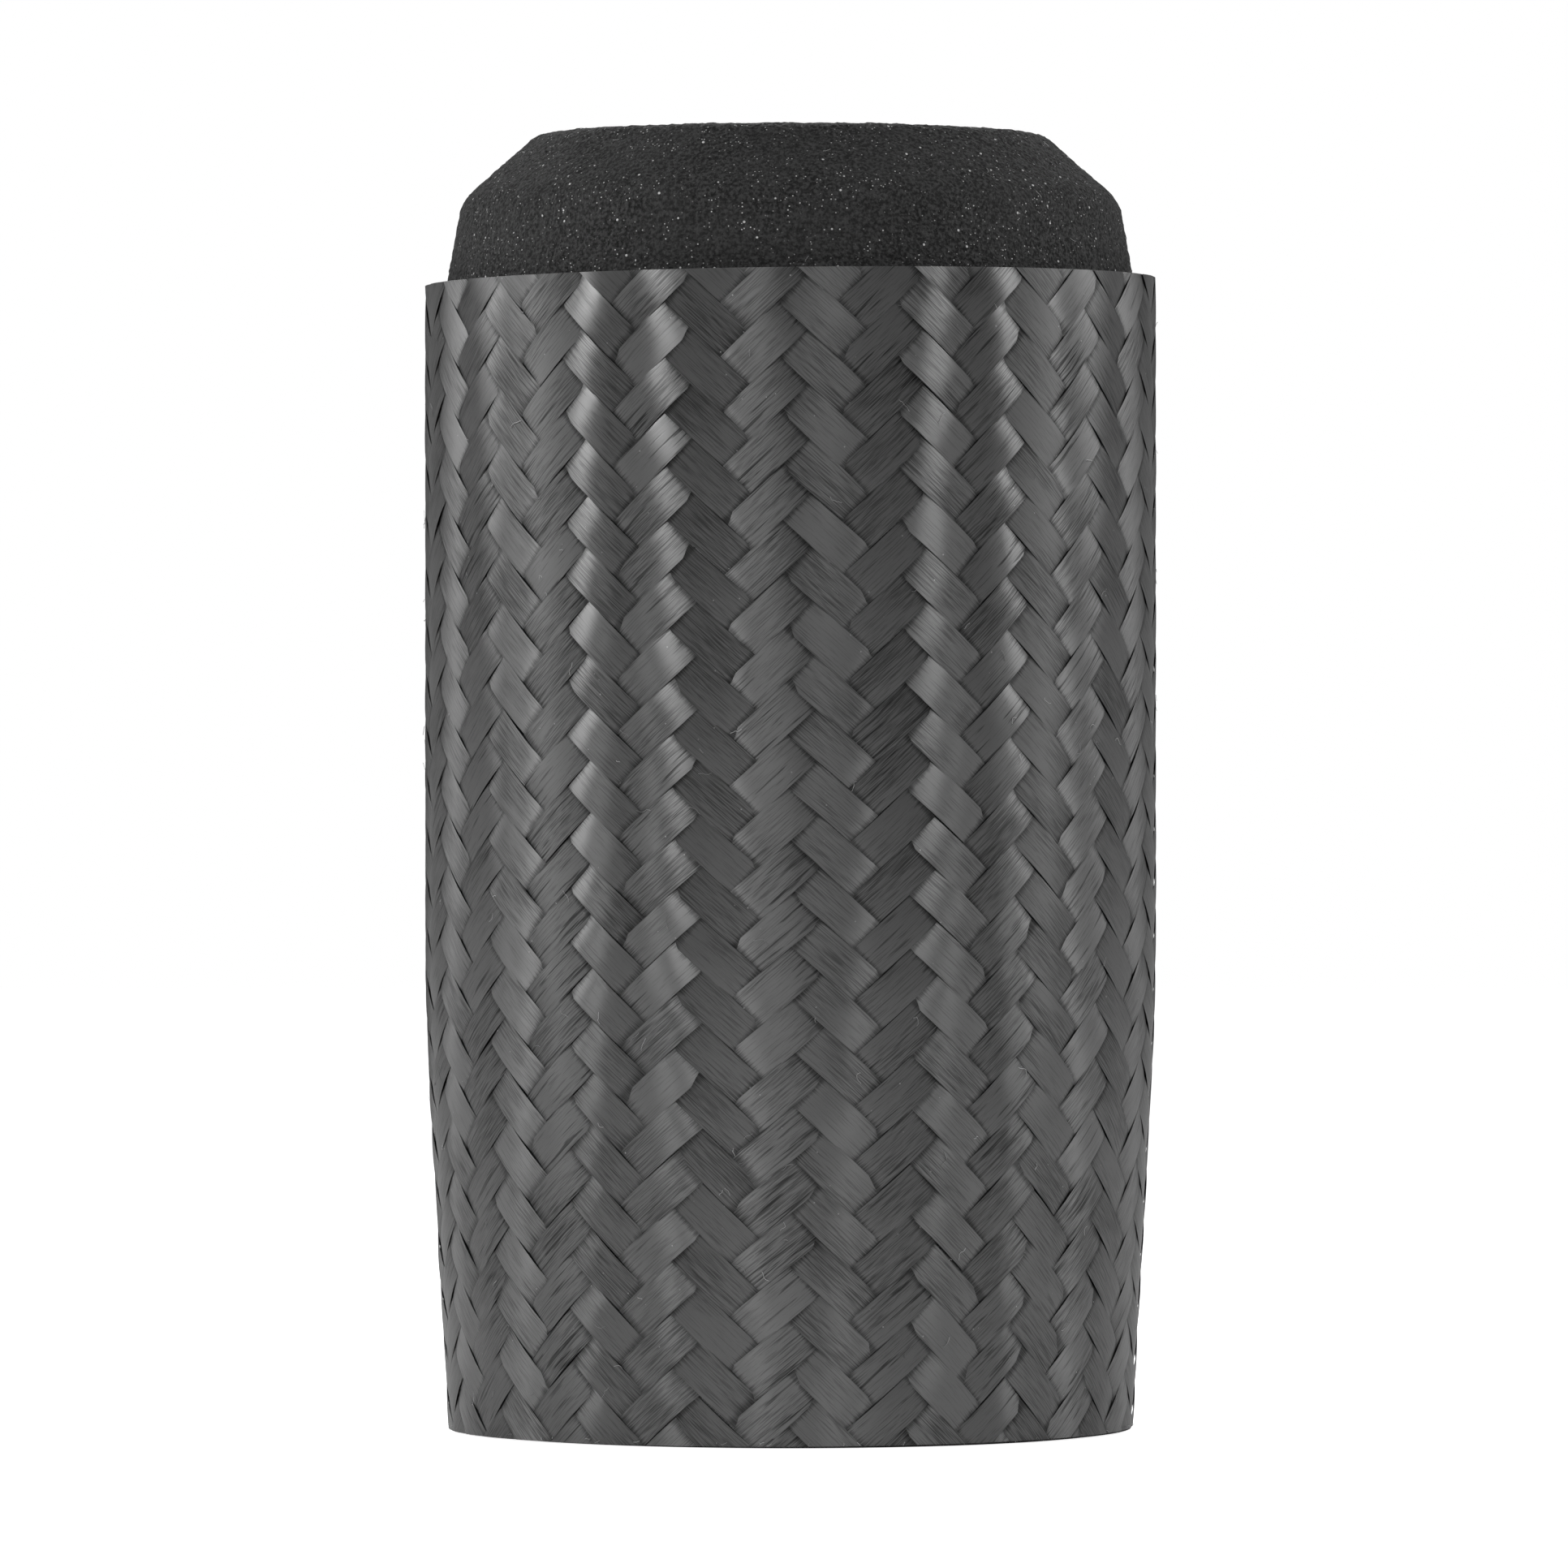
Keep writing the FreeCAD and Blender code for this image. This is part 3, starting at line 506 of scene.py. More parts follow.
def bake_places(corner, tow):
    """A place in the bake map for each face corner, from its point and its tow. Each ribbon has its own
    strip: its top takes most of it, and its underside a thin part beside that."""
    ring = len(across)
    point = corner % ring
    row = (corner // ring) % ROWS
    belly_face = np.zeros(len(corner), dtype=bool)
    side_loops = TOWS * (ROWS - 1) * ring * 4
    face_slot = (np.arange(side_loops) // 4) % ring
    belly_face[:side_loops] = face_slot >= ring - 2
    # Across a strip, the top takes 0.03 to 0.85 and the underside 0.89 to 0.97.
    top = point / (ring - 2) * 0.82 + 0.03
    belly = np.where(point == ring - 1, 0.93, np.where(point == 0, 0.89, 0.97))
    u = row / (ROWS - 1) * 0.96 + 0.01
    v = np.where(belly_face, belly, np.minimum(top, 0.85))
    # The two cut ends are small ovals beyond the ends of the strip.
    end = np.arange(len(corner)) >= side_loops
    turn = 2 * math.pi * point / ring
    u = np.where(end, np.where(row == 0, 0.004, 0.985) + 0.003 * np.cos(turn), u)
    v = np.where(end, 0.5 + 0.2 * np.sin(turn), v)
    return np.stack([u, (tow + v) / TOWS], axis=-1)


# %% [markdown]
# ### Finish of the tows
#
# A tow is thousands of parallel fibres under a thin skin of resin. Like brushed metal it reflects in a
# narrow fan: along the fibres the reflection stays sharp, across them it spreads. The shader's
# anisotropy does that, steered by the `fibre` map. On top come fine streaks, darker splits between
# bundles, slow changes of tone from tow to tow, and a few pale specks of dust. Where the tow dives
# under another or ends at its edge, its colour darkens: painted shade in the gaps.
#
# The tows that climb to the right look drier than the others: their fibres have cracked apart in
# places, and single ones glint, which is painted into the colour as pale lines: painted highlights.
# So the same finish is made twice, with more and with less of that.

# %% Node helpers


def stretched(material, coordinates, scale):
    """Coordinates scaled differently along each axis, for streaks."""
    return add(material, "VectorMath", {0: coordinates, 1: scale}, operation="MULTIPLY").outputs[0]


def noise(material, coordinates, scale, detail=2.0, roughness=0.5):
    inputs = {"Vector": coordinates, "Scale": scale, "Detail": detail, "Roughness": roughness}
    return add(material, "TexNoise", inputs).outputs["Fac"]


def ramp(material, value, low, high, dark=0.0, bright=1.0):
    """Value between low and high, mapped smoothly to dark..bright."""
    inputs = {"Value": value, "From Min": low, "From Max": high, "To Min": dark, "To Max": bright}
    return add(material, "MapRange", inputs, interpolation_type="SMOOTHSTEP").outputs[0]


def times(material, a, b):
    return add(material, "Math", {0: a, 1: b}, operation="MULTIPLY").outputs[0]


def plus(material, a, b):
    return add(material, "Math", {0: a, 1: b}, operation="ADD").outputs[0]


def blend_colours(material, amount, first, second):
    node = add(material, "Mix", {"Factor": amount}, data_type="RGBA")
    plug(material, first, node.inputs[6])
    plug(material, second, node.inputs[7])
    return node.outputs[2]


def specks(material, coordinates, scale, radius):
    """1 inside small round dots, one per cell of a cell pattern, else 0."""
    cells = add(material, "TexVoronoi", {"Vector": coordinates, "Scale": scale})
    return ramp(material, cells.outputs["Distance"], radius, radius * 0.6)


def bump(material, shader, height, depth, strength=1.0):
    """Raises the surface by depth metres where height is 1."""
    inputs = {"Height": height, "Distance": depth, "Strength": strength}
    node = add(material, "Bump", inputs)
    plug(material, node.outputs[0], shader.inputs["Normal"])


def object_place(material):
    return add(material, "TexCoord", {}).outputs["Object"]


# %% Braided carbon


def braided_carbon(name, dryness):
    """Dryness is 0 where resin wets the fibres smooth, and 1 where dry fibres crack and carry painted
    glints: pale lines in the colour as painted highlights.
    """
    material, shader = finish(name, Anisotropic=1.0, Anisotropic_Rotation=0.25)
    fibre = add(material, "UVMap", {}, uv_map="fibre").outputs[0]
    place = object_place(material)
    tangent = add(material, "Tangent", {}, direction_type="UV_MAP", uv_map="fibre")
    plug(material, tangent.outputs[0], shader.inputs["Tangent"])

    # Streaks that are long along the tow and thin across it, and patches where they split and where
    # painted glints go.
    fine = noise(material, stretched(material, fibre, (110, 2900, 1)), 1.0, 3.0, 0.55)
    bundles = noise(material, stretched(material, fibre, (45, 900, 1)), 1.0, 2.0)
    tone = noise(material, stretched(material, fibre, (18, 45, 1)), 1.0, 1.0)
    patch = noise(material, place, 22.0, 1.0)
    dry = times(material, ramp(material, patch, 0.36, 0.6, 0.35, 1.0), dryness)
    split = times(material, ramp(material, bundles, 0.42, 0.34), dry)

    # How pale the carbon is: streaks, tone, splits, painted glints, and painted shade where the tow dives.
    shade = ramp(material, fine, 0.34, 0.66, 0.58, 1.24)
    shade = plus(material, shade, ramp(material, tone, 0.3, 0.7, -0.22, 0.22))
    shade = times(material, shade, ramp(material, split, 0.0, 1.0, 1.0, 0.35))
    # Painted highlights: thin pale lines added to the colour where single fibres would glint.
    painted_glint = noise(material, stretched(material, fibre, (120, 3300, 1)), 1.0, 1.0)
    painted_glint = ramp(material, painted_glint, 0.62, 0.74)
    shade = plus(material, shade, times(material, painted_glint, dry))
    # Painted shade: the colour darkens where the tow dives under another or ends at its edge.
    gap_shade_factor = add(material, "Attribute", {}, attribute_name="gap_shade_factor").outputs["Fac"]
    shade = times(material, shade, ramp(material, gap_shade_factor, 0.0, 1.0, 0.42, 1.0))
    body = blend_colours(material, shade, grey(0.0), grey(0.14))

    # Dust takes the carbon's dark, metal-like shine away.
    dusty = ramp(material, noise(material, place, 55.0, 2.0), 0.44, 0.6)
    dust = times(material, specks(material, place, 230.0, 0.06), dusty)
    plug(material, blend_colours(material, dust, body, grey(0.25)), shader.inputs["Base Color"])
    plug(material, ramp(material, dust, 0.0, 1.0, 0.85, 0.0), shader.inputs["Metallic"])
    plug(material, ramp(material, bundles, 0.3, 0.7, 0.31, 0.37), shader.inputs["Roughness"])

    # The same streaks, as relief.
    relief = plus(material, times(material, fine, 0.35), times(material, bundles, 0.7))
    relief = plus(material, relief, times(material, split, -0.8))
    bump(material, shader, relief, 0.018 * MM)
    return material


braid_half("rising_tows", +1, braided_carbon("rising_carbon", 0.9))
braid_half("falling_tows", -1, braided_carbon("falling_carbon", 0.3))

# %% [markdown]
# ## The lid
#
# The lid is a black moulding with a coarse, almost sandy grain that even breaks its outline, which a
# bump map would leave straight. So a finely meshed skin takes the place of the engineering model's
# smooth lid: rings of points follow the same outline at three quarters of a millimetre, and each point
# is pushed in or out by a lumpy noise. The three latch seats are then cut into it with turned cutters.

# %% Lumpy noise on points
# Large odd numbers that mix a cell's three whole numbers and a seed into one.
MIXERS = (73856093, 19349663, 83492791, 2654435761)


def lumps(points, size, seed):
    """Smooth random numbers, -1 to 1, that change over about size metres."""
    cell = np.floor(points / size).astype(np.int64)
    inside = points / size - cell
    inside = inside * inside * (3 - 2 * inside)
    total = np.zeros(len(points))
    for corner in np.ndindex(2, 2, 2):
        weight = np.prod(np.where(np.array(corner) == 1, inside, 1 - inside), axis=1)
        total += weight * scatter(cell + np.array(corner), seed)
    return total


def scatter(cells, seed):
    """A random number, -1 to 1, for each whole-number cell."""
    mixed = cells[:, 0] * MIXERS[0] ^ cells[:, 1] * MIXERS[1] ^ cells[:, 2] * MIXERS[2] ^ seed * MIXERS[3]
    mixed = (mixed ^ (mixed >> 13)) * 1274126177 & 0xFFFFFFFF
    mixed = (mixed ^ (mixed >> 16)) & 0xFFFF
    return mixed / 32767.5 - 1


# %% Rings of points, zipped together


def ring_points(radius, height, count):
    turn = 2 * math.pi * np.arange(count) / count
    return np.stack([radius * np.cos(turn), radius * np.sin(turn), np.full(count, height)], axis=-1)


def zip_rings(first, first_count, second, second_count):
    """Triangles between two rings of points, whatever their counts."""
    faces = []
    a = b = 0
    while a < first_count or b < second_count:
        here, there = first + a % first_count, second + b % second_count
        if b * first_count >= a * second_count and a < first_count:
            faces.append((here, first + (a + 1) % first_count, there))
            a += 1
        else:
            faces.append((here, second + (b + 1) % second_count, there))
            b += 1
    return faces


def turned(name, profile, counts):
    """A closed turned mesh. The profile's first and last points lie on the axis."""
    points = [np.array([[0, 0, profile[0][1]]])]
    starts = [1]
    for (radius, height), count in zip(profile[1:-1], counts[1:-1]):
        points.append(ring_points(radius, height, count))
        starts.append(starts[-1] + count)
    points.append(np.array([[0, 0, profile[-1][1]]]))
    tip = starts[-1]
    counts = counts[1:-1]
    faces = [(0, starts[0] + (k + 1) % counts[0], starts[0] + k) for k in range(counts[0])]
    for k in range(len(counts) - 1):
        faces += zip_rings(starts[k], counts[k], starts[k + 1], counts[k + 1])
    last = starts[-2]
    faces += [(tip, last + k, last + (k + 1) % counts[-1]) for k in range(counts[-1])]
    mesh = bpy.data.meshes.new(name)
    mesh.from_pydata(np.concatenate(points).tolist(), [], faces)
    return mesh


# %% Outline of the lid skin
GRAIN_STEP = 0.76 * MM
HIDDEN_STEP = 2.4 * MM
ROOF_THICKNESS = 7 * MM
ROOF_RADIUS = 60 * MM
TAPER_WIDTH = 4 * MM
TAPER_TOP = 14 * MM
INSIDE_POINTS = 96
lid_heights, lid_radii = outline("lid_shell")
lid_low, lid_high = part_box("lid_shell")
sleeve_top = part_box("braided_sleeve")[1].z
skirt_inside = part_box("lid_plate")[1].x + 0.15 * MM
plate_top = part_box("lid_plate")[1].z


def lid_profile():
    """Profile points and ring counts: up inside the skirt, round its foot, up the outside, to the axis."""
    roof = lid_high.z - ROOF_THICKNESS
    inside = [
        (0, roof),
        (ROOF_RADIUS, roof),
        (skirt_inside - TAPER_WIDTH, sleeve_top + TAPER_TOP),
        (skirt_inside, plate_top),
        (skirt_inside, lid_low.z),
    ]
    counts = [1] + [INSIDE_POINTS] * 4
    corners = np.stack([lid_radii, lid_heights], axis=-1)
    corners = np.vstack([corners, (0, lid_high.z)])
    lengths = np.concatenate([[0], np.cumsum(np.hypot(*np.diff(corners, axis=0).T))])
    spot = 0.0
    outside = []
    while spot < lengths[-1] - GRAIN_STEP / 2:
        radius = float(np.interp(spot, lengths, corners[:, 0]))
        height = float(np.interp(spot, lengths, corners[:, 1]))
        outside.append((radius, height))
        counts.append(max(6, round(2 * math.pi * radius / GRAIN_STEP)))
        spot += HIDDEN_STEP if height < sleeve_top - 6 * MM else GRAIN_STEP
    return inside + outside + [(0, lid_high.z)], counts + [1]


# %% Grain the lid
lid_points, lid_counts = lid_profile()
lid_mesh = turned("lid_skin", lid_points, lid_counts)
print("lid skin", len(lid_mesh.polygons), "faces")


def per_corner_point(mesh, name):
    """Places or normals of all corner points, one row each."""
    values = np.empty(len(mesh.vertices) * 3)
    mesh.vertices.foreach_get(name, values)
    return values.reshape(-1, 3)


def grain_lid(mesh):
    """Pushes the visible outside in and out along its own slope: coarse lumps, finer ones on them, and a
    slow swell. What the sleeve hides and the inside stay smooth."""
    points = per_corner_point(mesh, "co")
    normals = per_corner_point(mesh, "normal")
    height = points[:, 2]
    radius = np.hypot(points[:, 0], points[:, 1])
    on_side = radius > np.interp(height, lid_heights, lid_radii) - 0.1 * MM
    on_top = height > lid_high.z - 6.5 * MM
    visible = on_top | (on_side & (height > sleeve_top - 4 * MM))
    push = 0.24 * MM * lumps(points, 1.6 * MM, 3) + 0.16 * MM * lumps(points, 0.9 * MM, 5)
    push += 0.06 * MM * lumps(points, 6 * MM, 8) - 0.2 * MM
    points += normals * (push * visible)[:, None]
    mesh.vertices.foreach_set("co", points.ravel())
    mesh.update()


grain_lid(lid_mesh)
lid_skin = link("lid_skin", lid_mesh)

# %% Cut the latch seats
LATCHES = (1, 2, 3)
BORE = 5.5 * MM
SEAT_POINTS = 64
CUT_ABOVE = 3 * MM
CUT_BELOW = 9 * MM


def cut_with(piece, cutter):
    """Cuts the cutter's shape out of the piece, and throws the cutter away."""
    modifier = piece.modifiers.new("cut", "BOOLEAN")
    modifier.operation = "DIFFERENCE"
    modifier.object = cutter
    modifier.solver = "MANIFOLD"
    graph = bpy.context.evaluated_depsgraph_get()
    shape = bpy.data.meshes.new_from_object(piece.evaluated_get(graph))
    piece.modifiers.clear()
    piece.data = shape
    bpy.data.objects.remove(cutter)


for number in LATCHES:
    low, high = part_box("bezel_%d" % number)
    middle = (low + high) / 2
    seat_radius = (high.x - low.x) / 2
    above = lid_high.z + CUT_ABOVE
    below = lid_high.z - CUT_BELOW
    bore = [(0, below), (BORE, below), (BORE, low.z)]
    cutter_profile = bore + [(seat_radius, low.z), (seat_radius, above), (0, above)]
    cutter_counts = [1] + [SEAT_POINTS] * 4 + [1]
    cutter = link("seat_cutter", turned("seat_cutter", cutter_profile, cutter_counts))
    cutter.location = (middle.x, middle.y, 0)
    cut_with(lid_skin, cutter)
print("lid skin after cutting", len(lid_skin.data.polygons), "faces")

# %% [markdown]
# ### Finish of the black moulding
#
# The plastic itself is nearly black and quite matt. What reads as grey is its grain: tiny lit and
# shaded faces, which the colour paints in too, with painted shade in the pits and painted light on the
# raised tops, and a scatter of pale grains and dust. The same finish, with a finer grain, serves the
# base and the rim ring.

# %% Black moulding


def black_moulding(name, grain, depth, tone, dust):
    """Grain and depth are the width and height of the grain, in metres. Tone is the plastic's own grey,
    and dust, 0 to 1, is how pale the loose grains on it are."""
    material, shader = finish(name, Specular_IOR_Level=0.24)
    place = object_place(material)
    pits = noise(material, place, 1 / grain, 3.0, 0.6)
    patches = noise(material, place, 45.0, 2.0)
    # Painted shade and painted light: darker where the grain is low, in its pits, and paler on its raised
    # tops, by the same noise as the bump.
    body = blend_colours(material, ramp(material, pits, 0.36, 0.66), grey(tone * 0.12), grey(tone * 1.5))
    body = blend_colours(material, ramp(material, patches, 0.35, 0.65, 0.0, 0.3), body, grey(tone * 1.2))
    dusty = ramp(material, noise(material, place, 0.16 / grain, 3.0), 0.42, 0.6)
    fine_grains = times(material, specks(material, place, 1 / (grain * 1.4), 0.17), dusty)
    coarse_grains = specks(material, place, 1 / (grain * 5), 0.09)
    grains = add(material, "Math", {0: fine_grains, 1: coarse_grains}, operation="MAXIMUM").outputs[0]
    body = blend_colours(material, times(material, grains, dust), body, grey(0.55))
    plug(material, body, shader.inputs["Base Color"])
    plug(material, ramp(material, pits, 0.3, 0.7, 0.82, 0.6), shader.inputs["Roughness"])
    bump(material, shader, pits, depth)
    return material


def coat(piece, material):
    """Gives a piece this finish and no other."""
    piece.data.materials.clear()
    piece.data.materials.append(material)


LID_EDGE_ANGLE = 80
coat(lid_skin, black_moulding("sandy_black_moulding", 0.95 * MM, 0.85 * MM, 0.022, 0.9))
lid_skin.data.shade_smooth()
lid_skin.data.set_sharp_from_angle(angle=math.radians(LID_EDGE_ANGLE))
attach(lid_skin, "lid")
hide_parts("lid_shell")

# %% [markdown]
# ## Loose fibres and lint
#
# A braid that is cut by hand sheds: short curly ends stand off the surface, and lint sticks to the
# grain of the lid. A hair system would do for a field of them, but these are few and have to stay close
# to the surface. So each one is a thin three-sided tube along a short random walk that hugs it.

# %% Hair-thin tubes
# Any direction will do to start a tube's sides from, as long as no path runs along it.
ANY_WAY = (0.31, 0.22, 0.92)
TINY = 1e-12
HAIR_STEPS = 9


def thread(path, radius):
    """Corner points and faces of a thin three-sided tube along a path, closed at both ends."""
    ahead = np.gradient(path, axis=0)
    ahead /= np.linalg.norm(ahead, axis=1)[:, None] + TINY
    side = np.cross(ahead, ANY_WAY)
    side /= np.linalg.norm(side, axis=1)[:, None] + TINY
    other = np.cross(ahead, side)
    turns = 2 * math.pi * np.arange(3) / 3
    rings = [path + radius * (math.cos(t) * side + math.sin(t) * other) for t in turns]
    points = np.stack(rings, axis=1).reshape(-1, 3)
    faces = []
    for row in range(len(path) - 1):
        for k in range(3):
            a, b = row * 3 + k, row * 3 + (k + 1) % 3
            faces.append((a, b, b + 3, a + 3))
    faces.append((2, 1, 0))
    last = (len(path) - 1) * 3
    faces.append((last, last + 1, last + 2))
    return points, faces


def threads(name, paths, radii, material):
    """Many threads as one piece."""
    points, faces = [], []
    for path, radius in zip(paths, radii):
        new_points, new_faces = thread(path, radius)
        start = len(points)
        points += new_points.tolist()
        faces += [tuple(start + k for k in face) for face in new_faces]
    mesh = bpy.data.meshes.new(name)
    mesh.from_pydata(points, [], faces)
    mesh.shade_smooth()
    return link(name, mesh, material)


def curly_walk(length, curl):
    """How far a short curly line has gone sideways and up after each of its steps."""
    heading = dice.uniform(0, 2 * math.pi) + np.cumsum(dice.normal(0, curl, HAIR_STEPS))
    pace = length / HAIR_STEPS
    return np.cumsum(np.cos(heading)) * pace, np.cumsum(np.sin(heading)) * pace


# %% Where the fibres lie
WALL_HAIRS = 230
EDGE_HAIRS = 70
LID_HAIRS = 40
LOWEST_HAIR = 12 * MM
HAIR_SPAN = 300 * MM


def wall_hair():
    """The path of one loose fibre on the wall, likelier low down."""
    height = LOWEST_HAIR + HAIR_SPAN * dice.uniform() ** 1.35
    angle = dice.uniform(-math.pi, math.pi)
    aside, up = curly_walk(dice.uniform(1.2, 5.5) * MM, 0.45)
    heights = np.clip(height + up, 3 * MM, TOP_CUT - 2 * MM)
    radius = wall_radius(heights) + np.linspace(0.0, dice.uniform(0.15, 0.7) * MM, len(up))
    angles = angle + aside / radius
    return place_at(angles, radius, heights)


def edge_hair():
    """The path of a short end that hangs out of the braid's lower cut edge."""
    angle = dice.uniform(-math.pi, math.pi)
    aside, up = curly_walk(dice.uniform(0.8, 2.6) * MM, 0.3)
    heights = np.clip(1.8 * MM - np.abs(up) * 0.5, 0.2 * MM, None)
    radius = wall_radius(0.0) - 0.3 * MM + np.linspace(0, dice.uniform(0.2, 1.4) * MM, len(up))
    angles = angle + aside / radius
    return place_at(angles, radius, heights)


def lid_hair():
    """The path of a piece of lint on the lid's side."""
    angle = dice.uniform(-math.pi, math.pi)
    height = dice.uniform(sleeve_top + 2 * MM, lid_high.z - 4 * MM)
    aside, up = curly_walk(dice.uniform(1.0, 3.5) * MM, 0.35)
    heights = height + up * 0.8
    radius = np.interp(heights, lid_heights, lid_radii) + 0.08 * MM
    angles = angle + aside / radius
    return place_at(angles, radius, heights)


def lint_finish():
    """Pale fibre, lighter in some places than in others."""
    material, shader = finish("pale_lint", Roughness=0.6, Specular_IOR_Level=0.4)
    patches = noise(material, object_place(material), 90.0, 2.0)
    colour = blend_colours(material, ramp(material, patches, 0.35, 0.65), grey(0.14), grey(0.45))
    plug(material, colour, shader.inputs["Base Color"])
    return material


lint = lint_finish()
wall_paths = [wall_hair() for _ in range(WALL_HAIRS)] + [edge_hair() for _ in range(EDGE_HAIRS)]
wall_sizes = dice.uniform(0.035, 0.085, len(wall_paths)) * MM
stray_fibres = threads("stray_fibres", wall_paths, wall_sizes, lint)
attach(stray_fibres, "canister")
lid_paths = [lid_hair() for _ in range(LID_HAIRS)]
lid_lint = threads("lid_lint", lid_paths, dice.uniform(0.03, 0.07, LID_HAIRS) * MM, lint)
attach(lid_lint, "lid")
print(len(wall_paths), "loose fibres on the wall and", LID_HAIRS, "on the lid")

# %% [markdown]
# ## Finishes of the engineering parts
#
# The remaining parts keep the engineering model's own shapes, which are right as they stand: turned
# pins, a pressed plate, rings of rubber. Each gets the surface that its making leaves behind.
#
# First the tube under the sleeve, moulded from twill cloth. Its weave lies flat under clear resin, so
# here slanting bands will do, on the tube's surface unrolled: the angle round it becomes a length.

# %% Smooth laminate of the inner tube
UNROLLED_RADIUS = 98.5 * MM


def carbon_laminate():
    """Twill cloth under clear resin: slanting bands, paler and darker, with streaks across them."""
    material, shader = finish("moulded_laminate", Coat_Weight=0.6, Coat_Roughness=0.12)
    place = add(material, "SeparateXYZ", {0: object_place(material)})
    sides = {0: place.outputs[1], 1: place.outputs[0]}
    angle = add(material, "Math", sides, operation="ARCTAN2").outputs[0]
    unrolled = {0: times(material, angle, UNROLLED_RADIUS), 1: place.outputs[2]}
    flat = add(material, "CombineXYZ", unrolled).outputs[0]
    weave = {"Vector": flat, "Scale": 130.0, "Distortion": 0.6}
    cloth = add(material, "TexWave", weave, bands_direction="DIAGONAL").outputs["Fac"]
    streaks = noise(material, stretched(material, flat, (900, 120, 1)), 1.0, 3.0)
    body = blend_colours(material, cloth, grey(0.012), grey(0.05))
    body = blend_colours(material, ramp(material, streaks, 0.3, 0.7, 0.0, 0.5), body, grey(0.03))
    plug(material, body, shader.inputs["Base Color"])
    plug(material, ramp(material, cloth, 0.0, 1.0, 0.3, 0.5), shader.inputs["Roughness"])
    bump(material, shader, plus(material, cloth, times(material, streaks, 0.3)), 0.03 * MM, 0.5)
    return material


# %% [markdown]
# ### Rubber, blasted alloy, spring steel and nylon
#
# Four simple surfaces. Rubber is matt, with a pale bloom. The plate under the lid is alloy blasted to
# an even peened grey, with a few scratches. The spring washers keep the blue and straw of tempering.
# The bushes are turned from nylon, which is milky and lets some light in.

# %% Rubber, blasted alloy, spring steel and nylon


def soft_rubber():
    """Matt, with a pale bloom."""
    material, shader = finish("black_rubber", Specular_IOR_Level=0.35)
    place = object_place(material)
    bloom = noise(material, place, 160.0, 3.0)
    fine = noise(material, place, 2600.0, 2.0)
    plug(material, blend_colours(material, bloom, grey(0.010), grey(0.030)), shader.inputs["Base Color"])
    plug(material, ramp(material, bloom, 0.3, 0.7, 0.62, 0.85), shader.inputs["Roughness"])
    bump(material, shader, plus(material, bloom, fine), 0.03 * MM, 0.6)
    return material


def blasted_alloy():
    """An even peened grey, with a few scratches."""
    material, shader = finish("blasted_alloy", Metallic=1.0)
    place = object_place(material)
    peening = noise(material, place, 2200.0, 2.0)
    clouds = noise(material, place, 35.0, 3.0)
    scratches = noise(material, stretched(material, place, (120, 2600, 1)), 1.0, 2.0)
    scratched = times(material, ramp(material, scratches, 0.68, 0.76), 0.5)
    body = blend_colours(material, clouds, grey(0.42), grey(0.56))
    plug(material, blend_colours(material, scratched, body, grey(0.75)), shader.inputs["Base Color"])
    plug(material, ramp(material, peening, 0.3, 0.7, 0.38, 0.55), shader.inputs["Roughness"])
    bump(material, shader, plus(material, peening, times(material, scratched, -0.6)), 0.04 * MM, 0.7)
    return material


def tempered_steel():
    """Patches of blue and straw, with grinding lines."""
    material, shader = finish("blued_spring_steel", Metallic=1.0)
    place = object_place(material)
    temper = noise(material, place, 220.0, 2.0)
    grind = noise(material, stretched(material, place, (400, 5000, 400)), 1.0, 2.0)
    body = blend_colours(material, temper, (0.10, 0.12, 0.17, 1.0), (0.24, 0.20, 0.17, 1.0))
    plug(material, body, shader.inputs["Base Color"])
    plug(material, ramp(material, grind, 0.3, 0.7, 0.25, 0.42), shader.inputs["Roughness"])
    bump(material, shader, grind, 0.015 * MM, 0.6)
    return material


def turned_nylon():
    """Milky, with a lathe's fine lines round it."""
    material, shader = finish("natural_nylon", Roughness=0.42, Subsurface_Weight=0.15)
    shader.inputs["Subsurface Scale"].default_value = 2 * MM
    place = object_place(material)
    haze = noise(material, place, 180.0, 3.0)
    lines = noise(material, stretched(material, place, (200, 200, 7000)), 1.0, 1.0)
    body = blend_colours(material, haze, (0.62, 0.59, 0.50, 1.0), (0.76, 0.74, 0.67, 1.0))
    plug(material, body, shader.inputs["Base Color"])
    bump(material, shader, plus(material, haze, lines), 0.02 * MM, 0.6)
    return material


# %% [markdown]
# ### Turned and brushed steel
#
# A lathe leaves fine rings about the axis of what it turns, so this finish takes the axis of a latch as
# its centre. The screws and pins are so small that rings about the canister's own axis serve them. The
# tongues are cut from brushed sheet, which has straight strokes instead.

# %% Turned steel


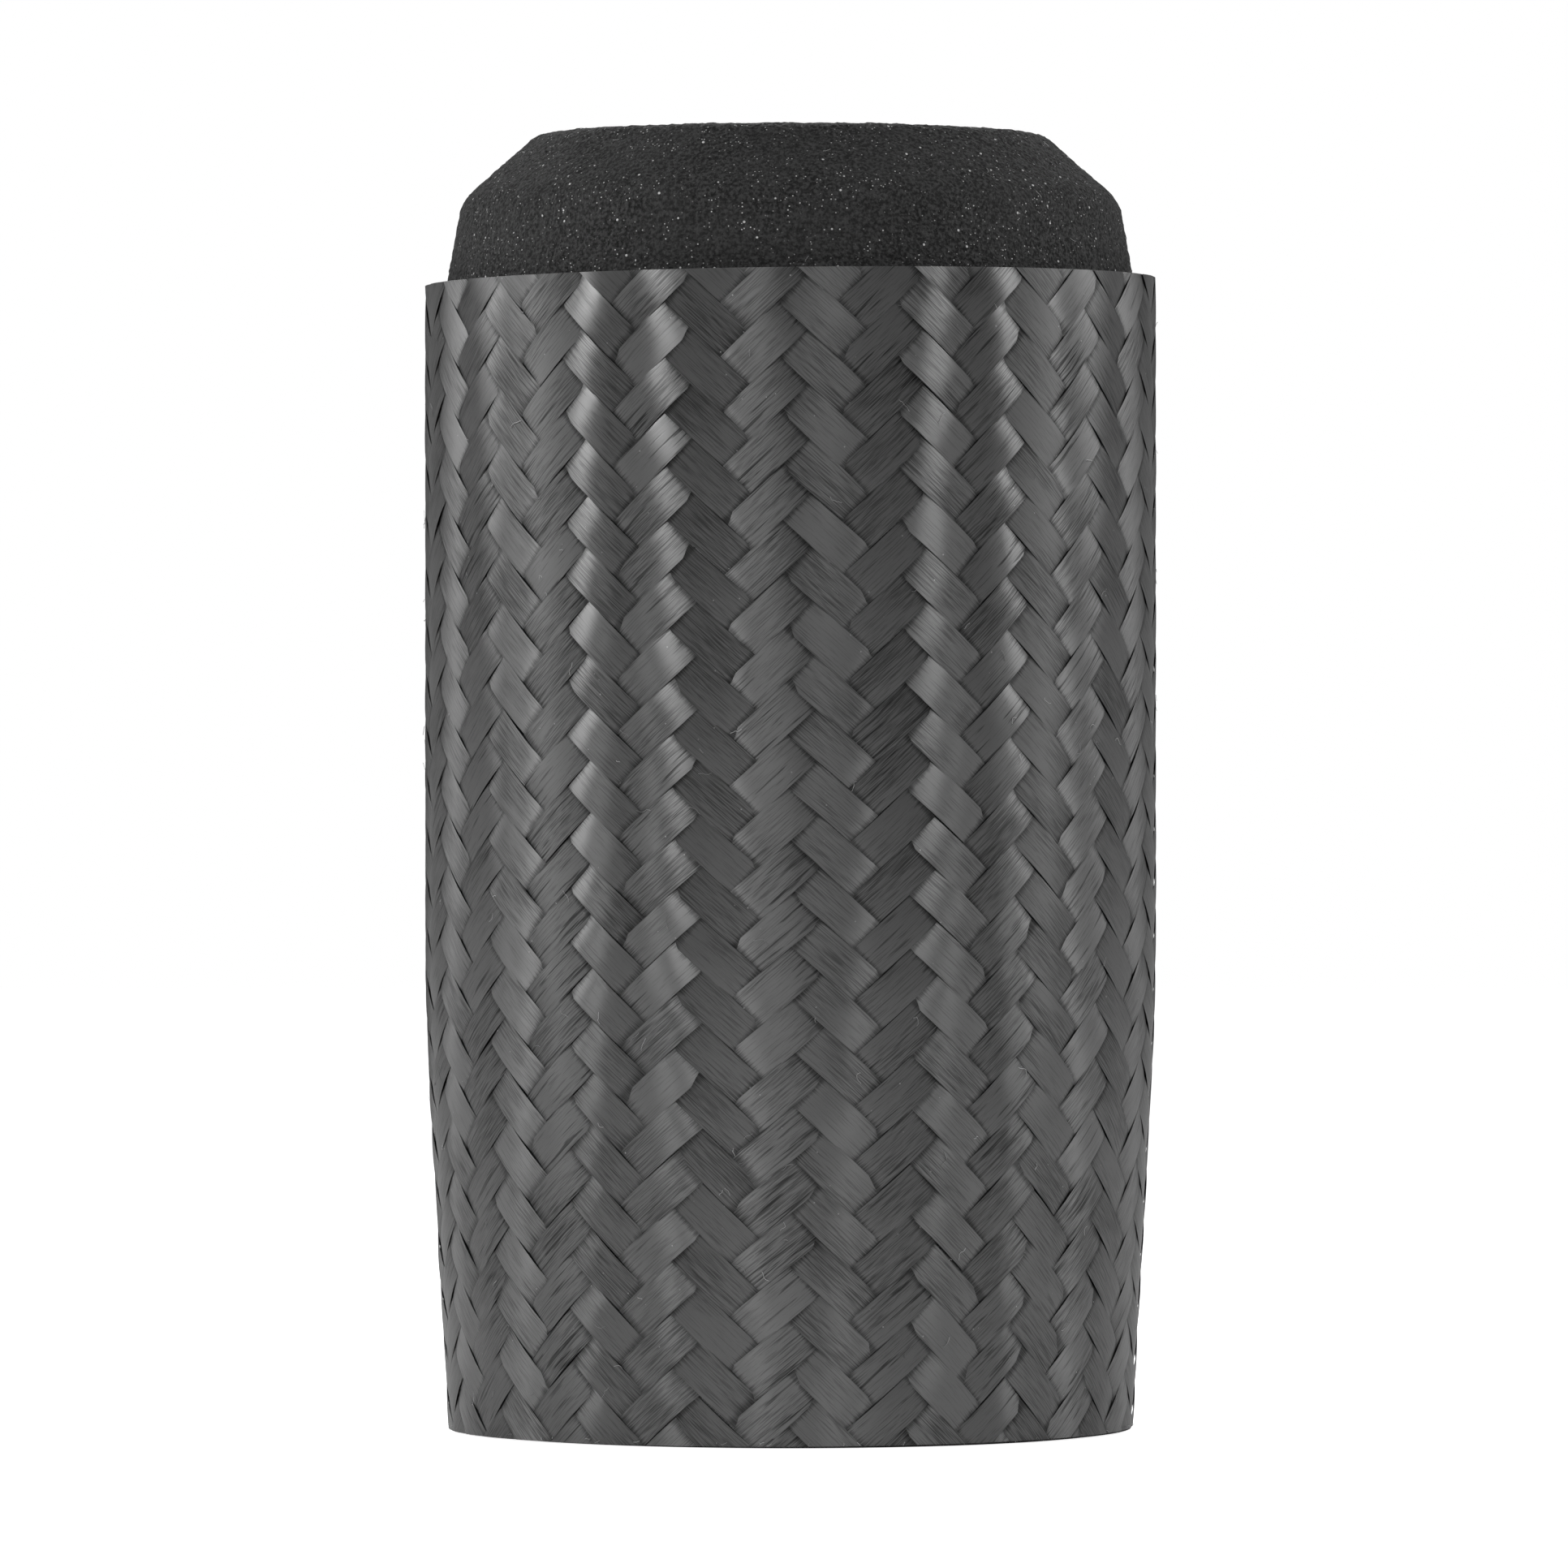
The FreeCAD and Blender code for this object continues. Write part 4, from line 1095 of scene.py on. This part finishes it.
def turned_steel(name, centre):
    """Fine rings about an upright axis, with a few handling scratches."""
    material, shader = finish(name, Metallic=1.0)
    place = object_place(material)
    middle = (centre[0], centre[1], 0)
    offset = add(material, "VectorMath", {0: place, 1: middle}, operation="SUBTRACT").outputs[0]
    flat = stretched(material, offset, (1, 1, 0))
    radius = add(material, "VectorMath", {0: flat}, operation="LENGTH").outputs["Value"]
    height = add(material, "SeparateXYZ", {0: place}).outputs[2]
    ring_place = add(material, "CombineXYZ", {0: radius, 1: height}).outputs[0]
    rings = noise(material, ring_place, 5200.0, 2.0)
    wear = noise(material, place, 400.0, 3.0)
    scratches = noise(material, stretched(material, place, (300, 4200, 300)), 1.0, 1.0)
    scratches = ramp(material, scratches, 0.70, 0.78)
    body = blend_colours(material, wear, grey(0.44), grey(0.62))
    body = blend_colours(material, times(material, scratches, 0.4), body, grey(0.8))
    plug(material, body, shader.inputs["Base Color"])
    plug(material, ramp(material, rings, 0.3, 0.7, 0.2, 0.36), shader.inputs["Roughness"])
    bump(material, shader, plus(material, rings, times(material, scratches, -0.5)), 0.012 * MM, 0.6)
    return material


# %% Brushed steel


def brushed_steel():
    """Straight strokes along X."""
    material, shader = finish("brushed_steel", Metallic=1.0)
    place = object_place(material)
    strokes = noise(material, stretched(material, place, (60, 3600, 3600)), 1.0, 3.0)
    cloud = noise(material, place, 120.0, 2.0)
    plug(material, blend_colours(material, cloud, grey(0.40), grey(0.58)), shader.inputs["Base Color"])
    plug(material, ramp(material, strokes, 0.3, 0.7, 0.26, 0.46), shader.inputs["Roughness"])
    bump(material, shader, strokes, 0.02 * MM, 0.6)
    return material


# %% [markdown]
# ### Dressing the parts
#
# One table says which finish each part of the engineering model gets. The bolt, bezel and nut of one
# latch share an axis, so they share one finish.

# %% Dress every engineering part
moulding = black_moulding("fine_black_moulding", 0.55 * MM, 0.10 * MM, 0.020, 0.35)
rubber = soft_rubber()
dress = {
    "inner_tube": carbon_laminate(),
    "base_cap": moulding,
    "rim_ring": moulding,
    "foot_ring": rubber,
    "rim_gasket": rubber,
    "lid_plate": blasted_alloy(),
    "plate_screws": turned_steel("turned_screws", (0, 0)),
    "stop_pins": turned_steel("ground_pins", (0, 0)),
}
washer_finish = tempered_steel()
bush_finish = turned_nylon()
tongue_finish = brushed_steel()
for number in LATCHES:
    low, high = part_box("bolt_%d" % number)
    axis = (low + high) / 2
    steel = turned_steel("turned_latch_steel_%d" % number, axis)
    for part in ("bolt", "bezel", "lock_nut"):
        dress["%s_%d" % (part, number)] = steel
    dress["o_ring_%d" % number] = rubber
    dress["bush_%d" % number] = bush_finish
    dress["spring_washer_%d" % number] = washer_finish
    dress["tongue_%d" % number] = tongue_finish

for node, material in dress.items():
    coat(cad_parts[node], material)
print(len(dress), "engineering parts dressed")
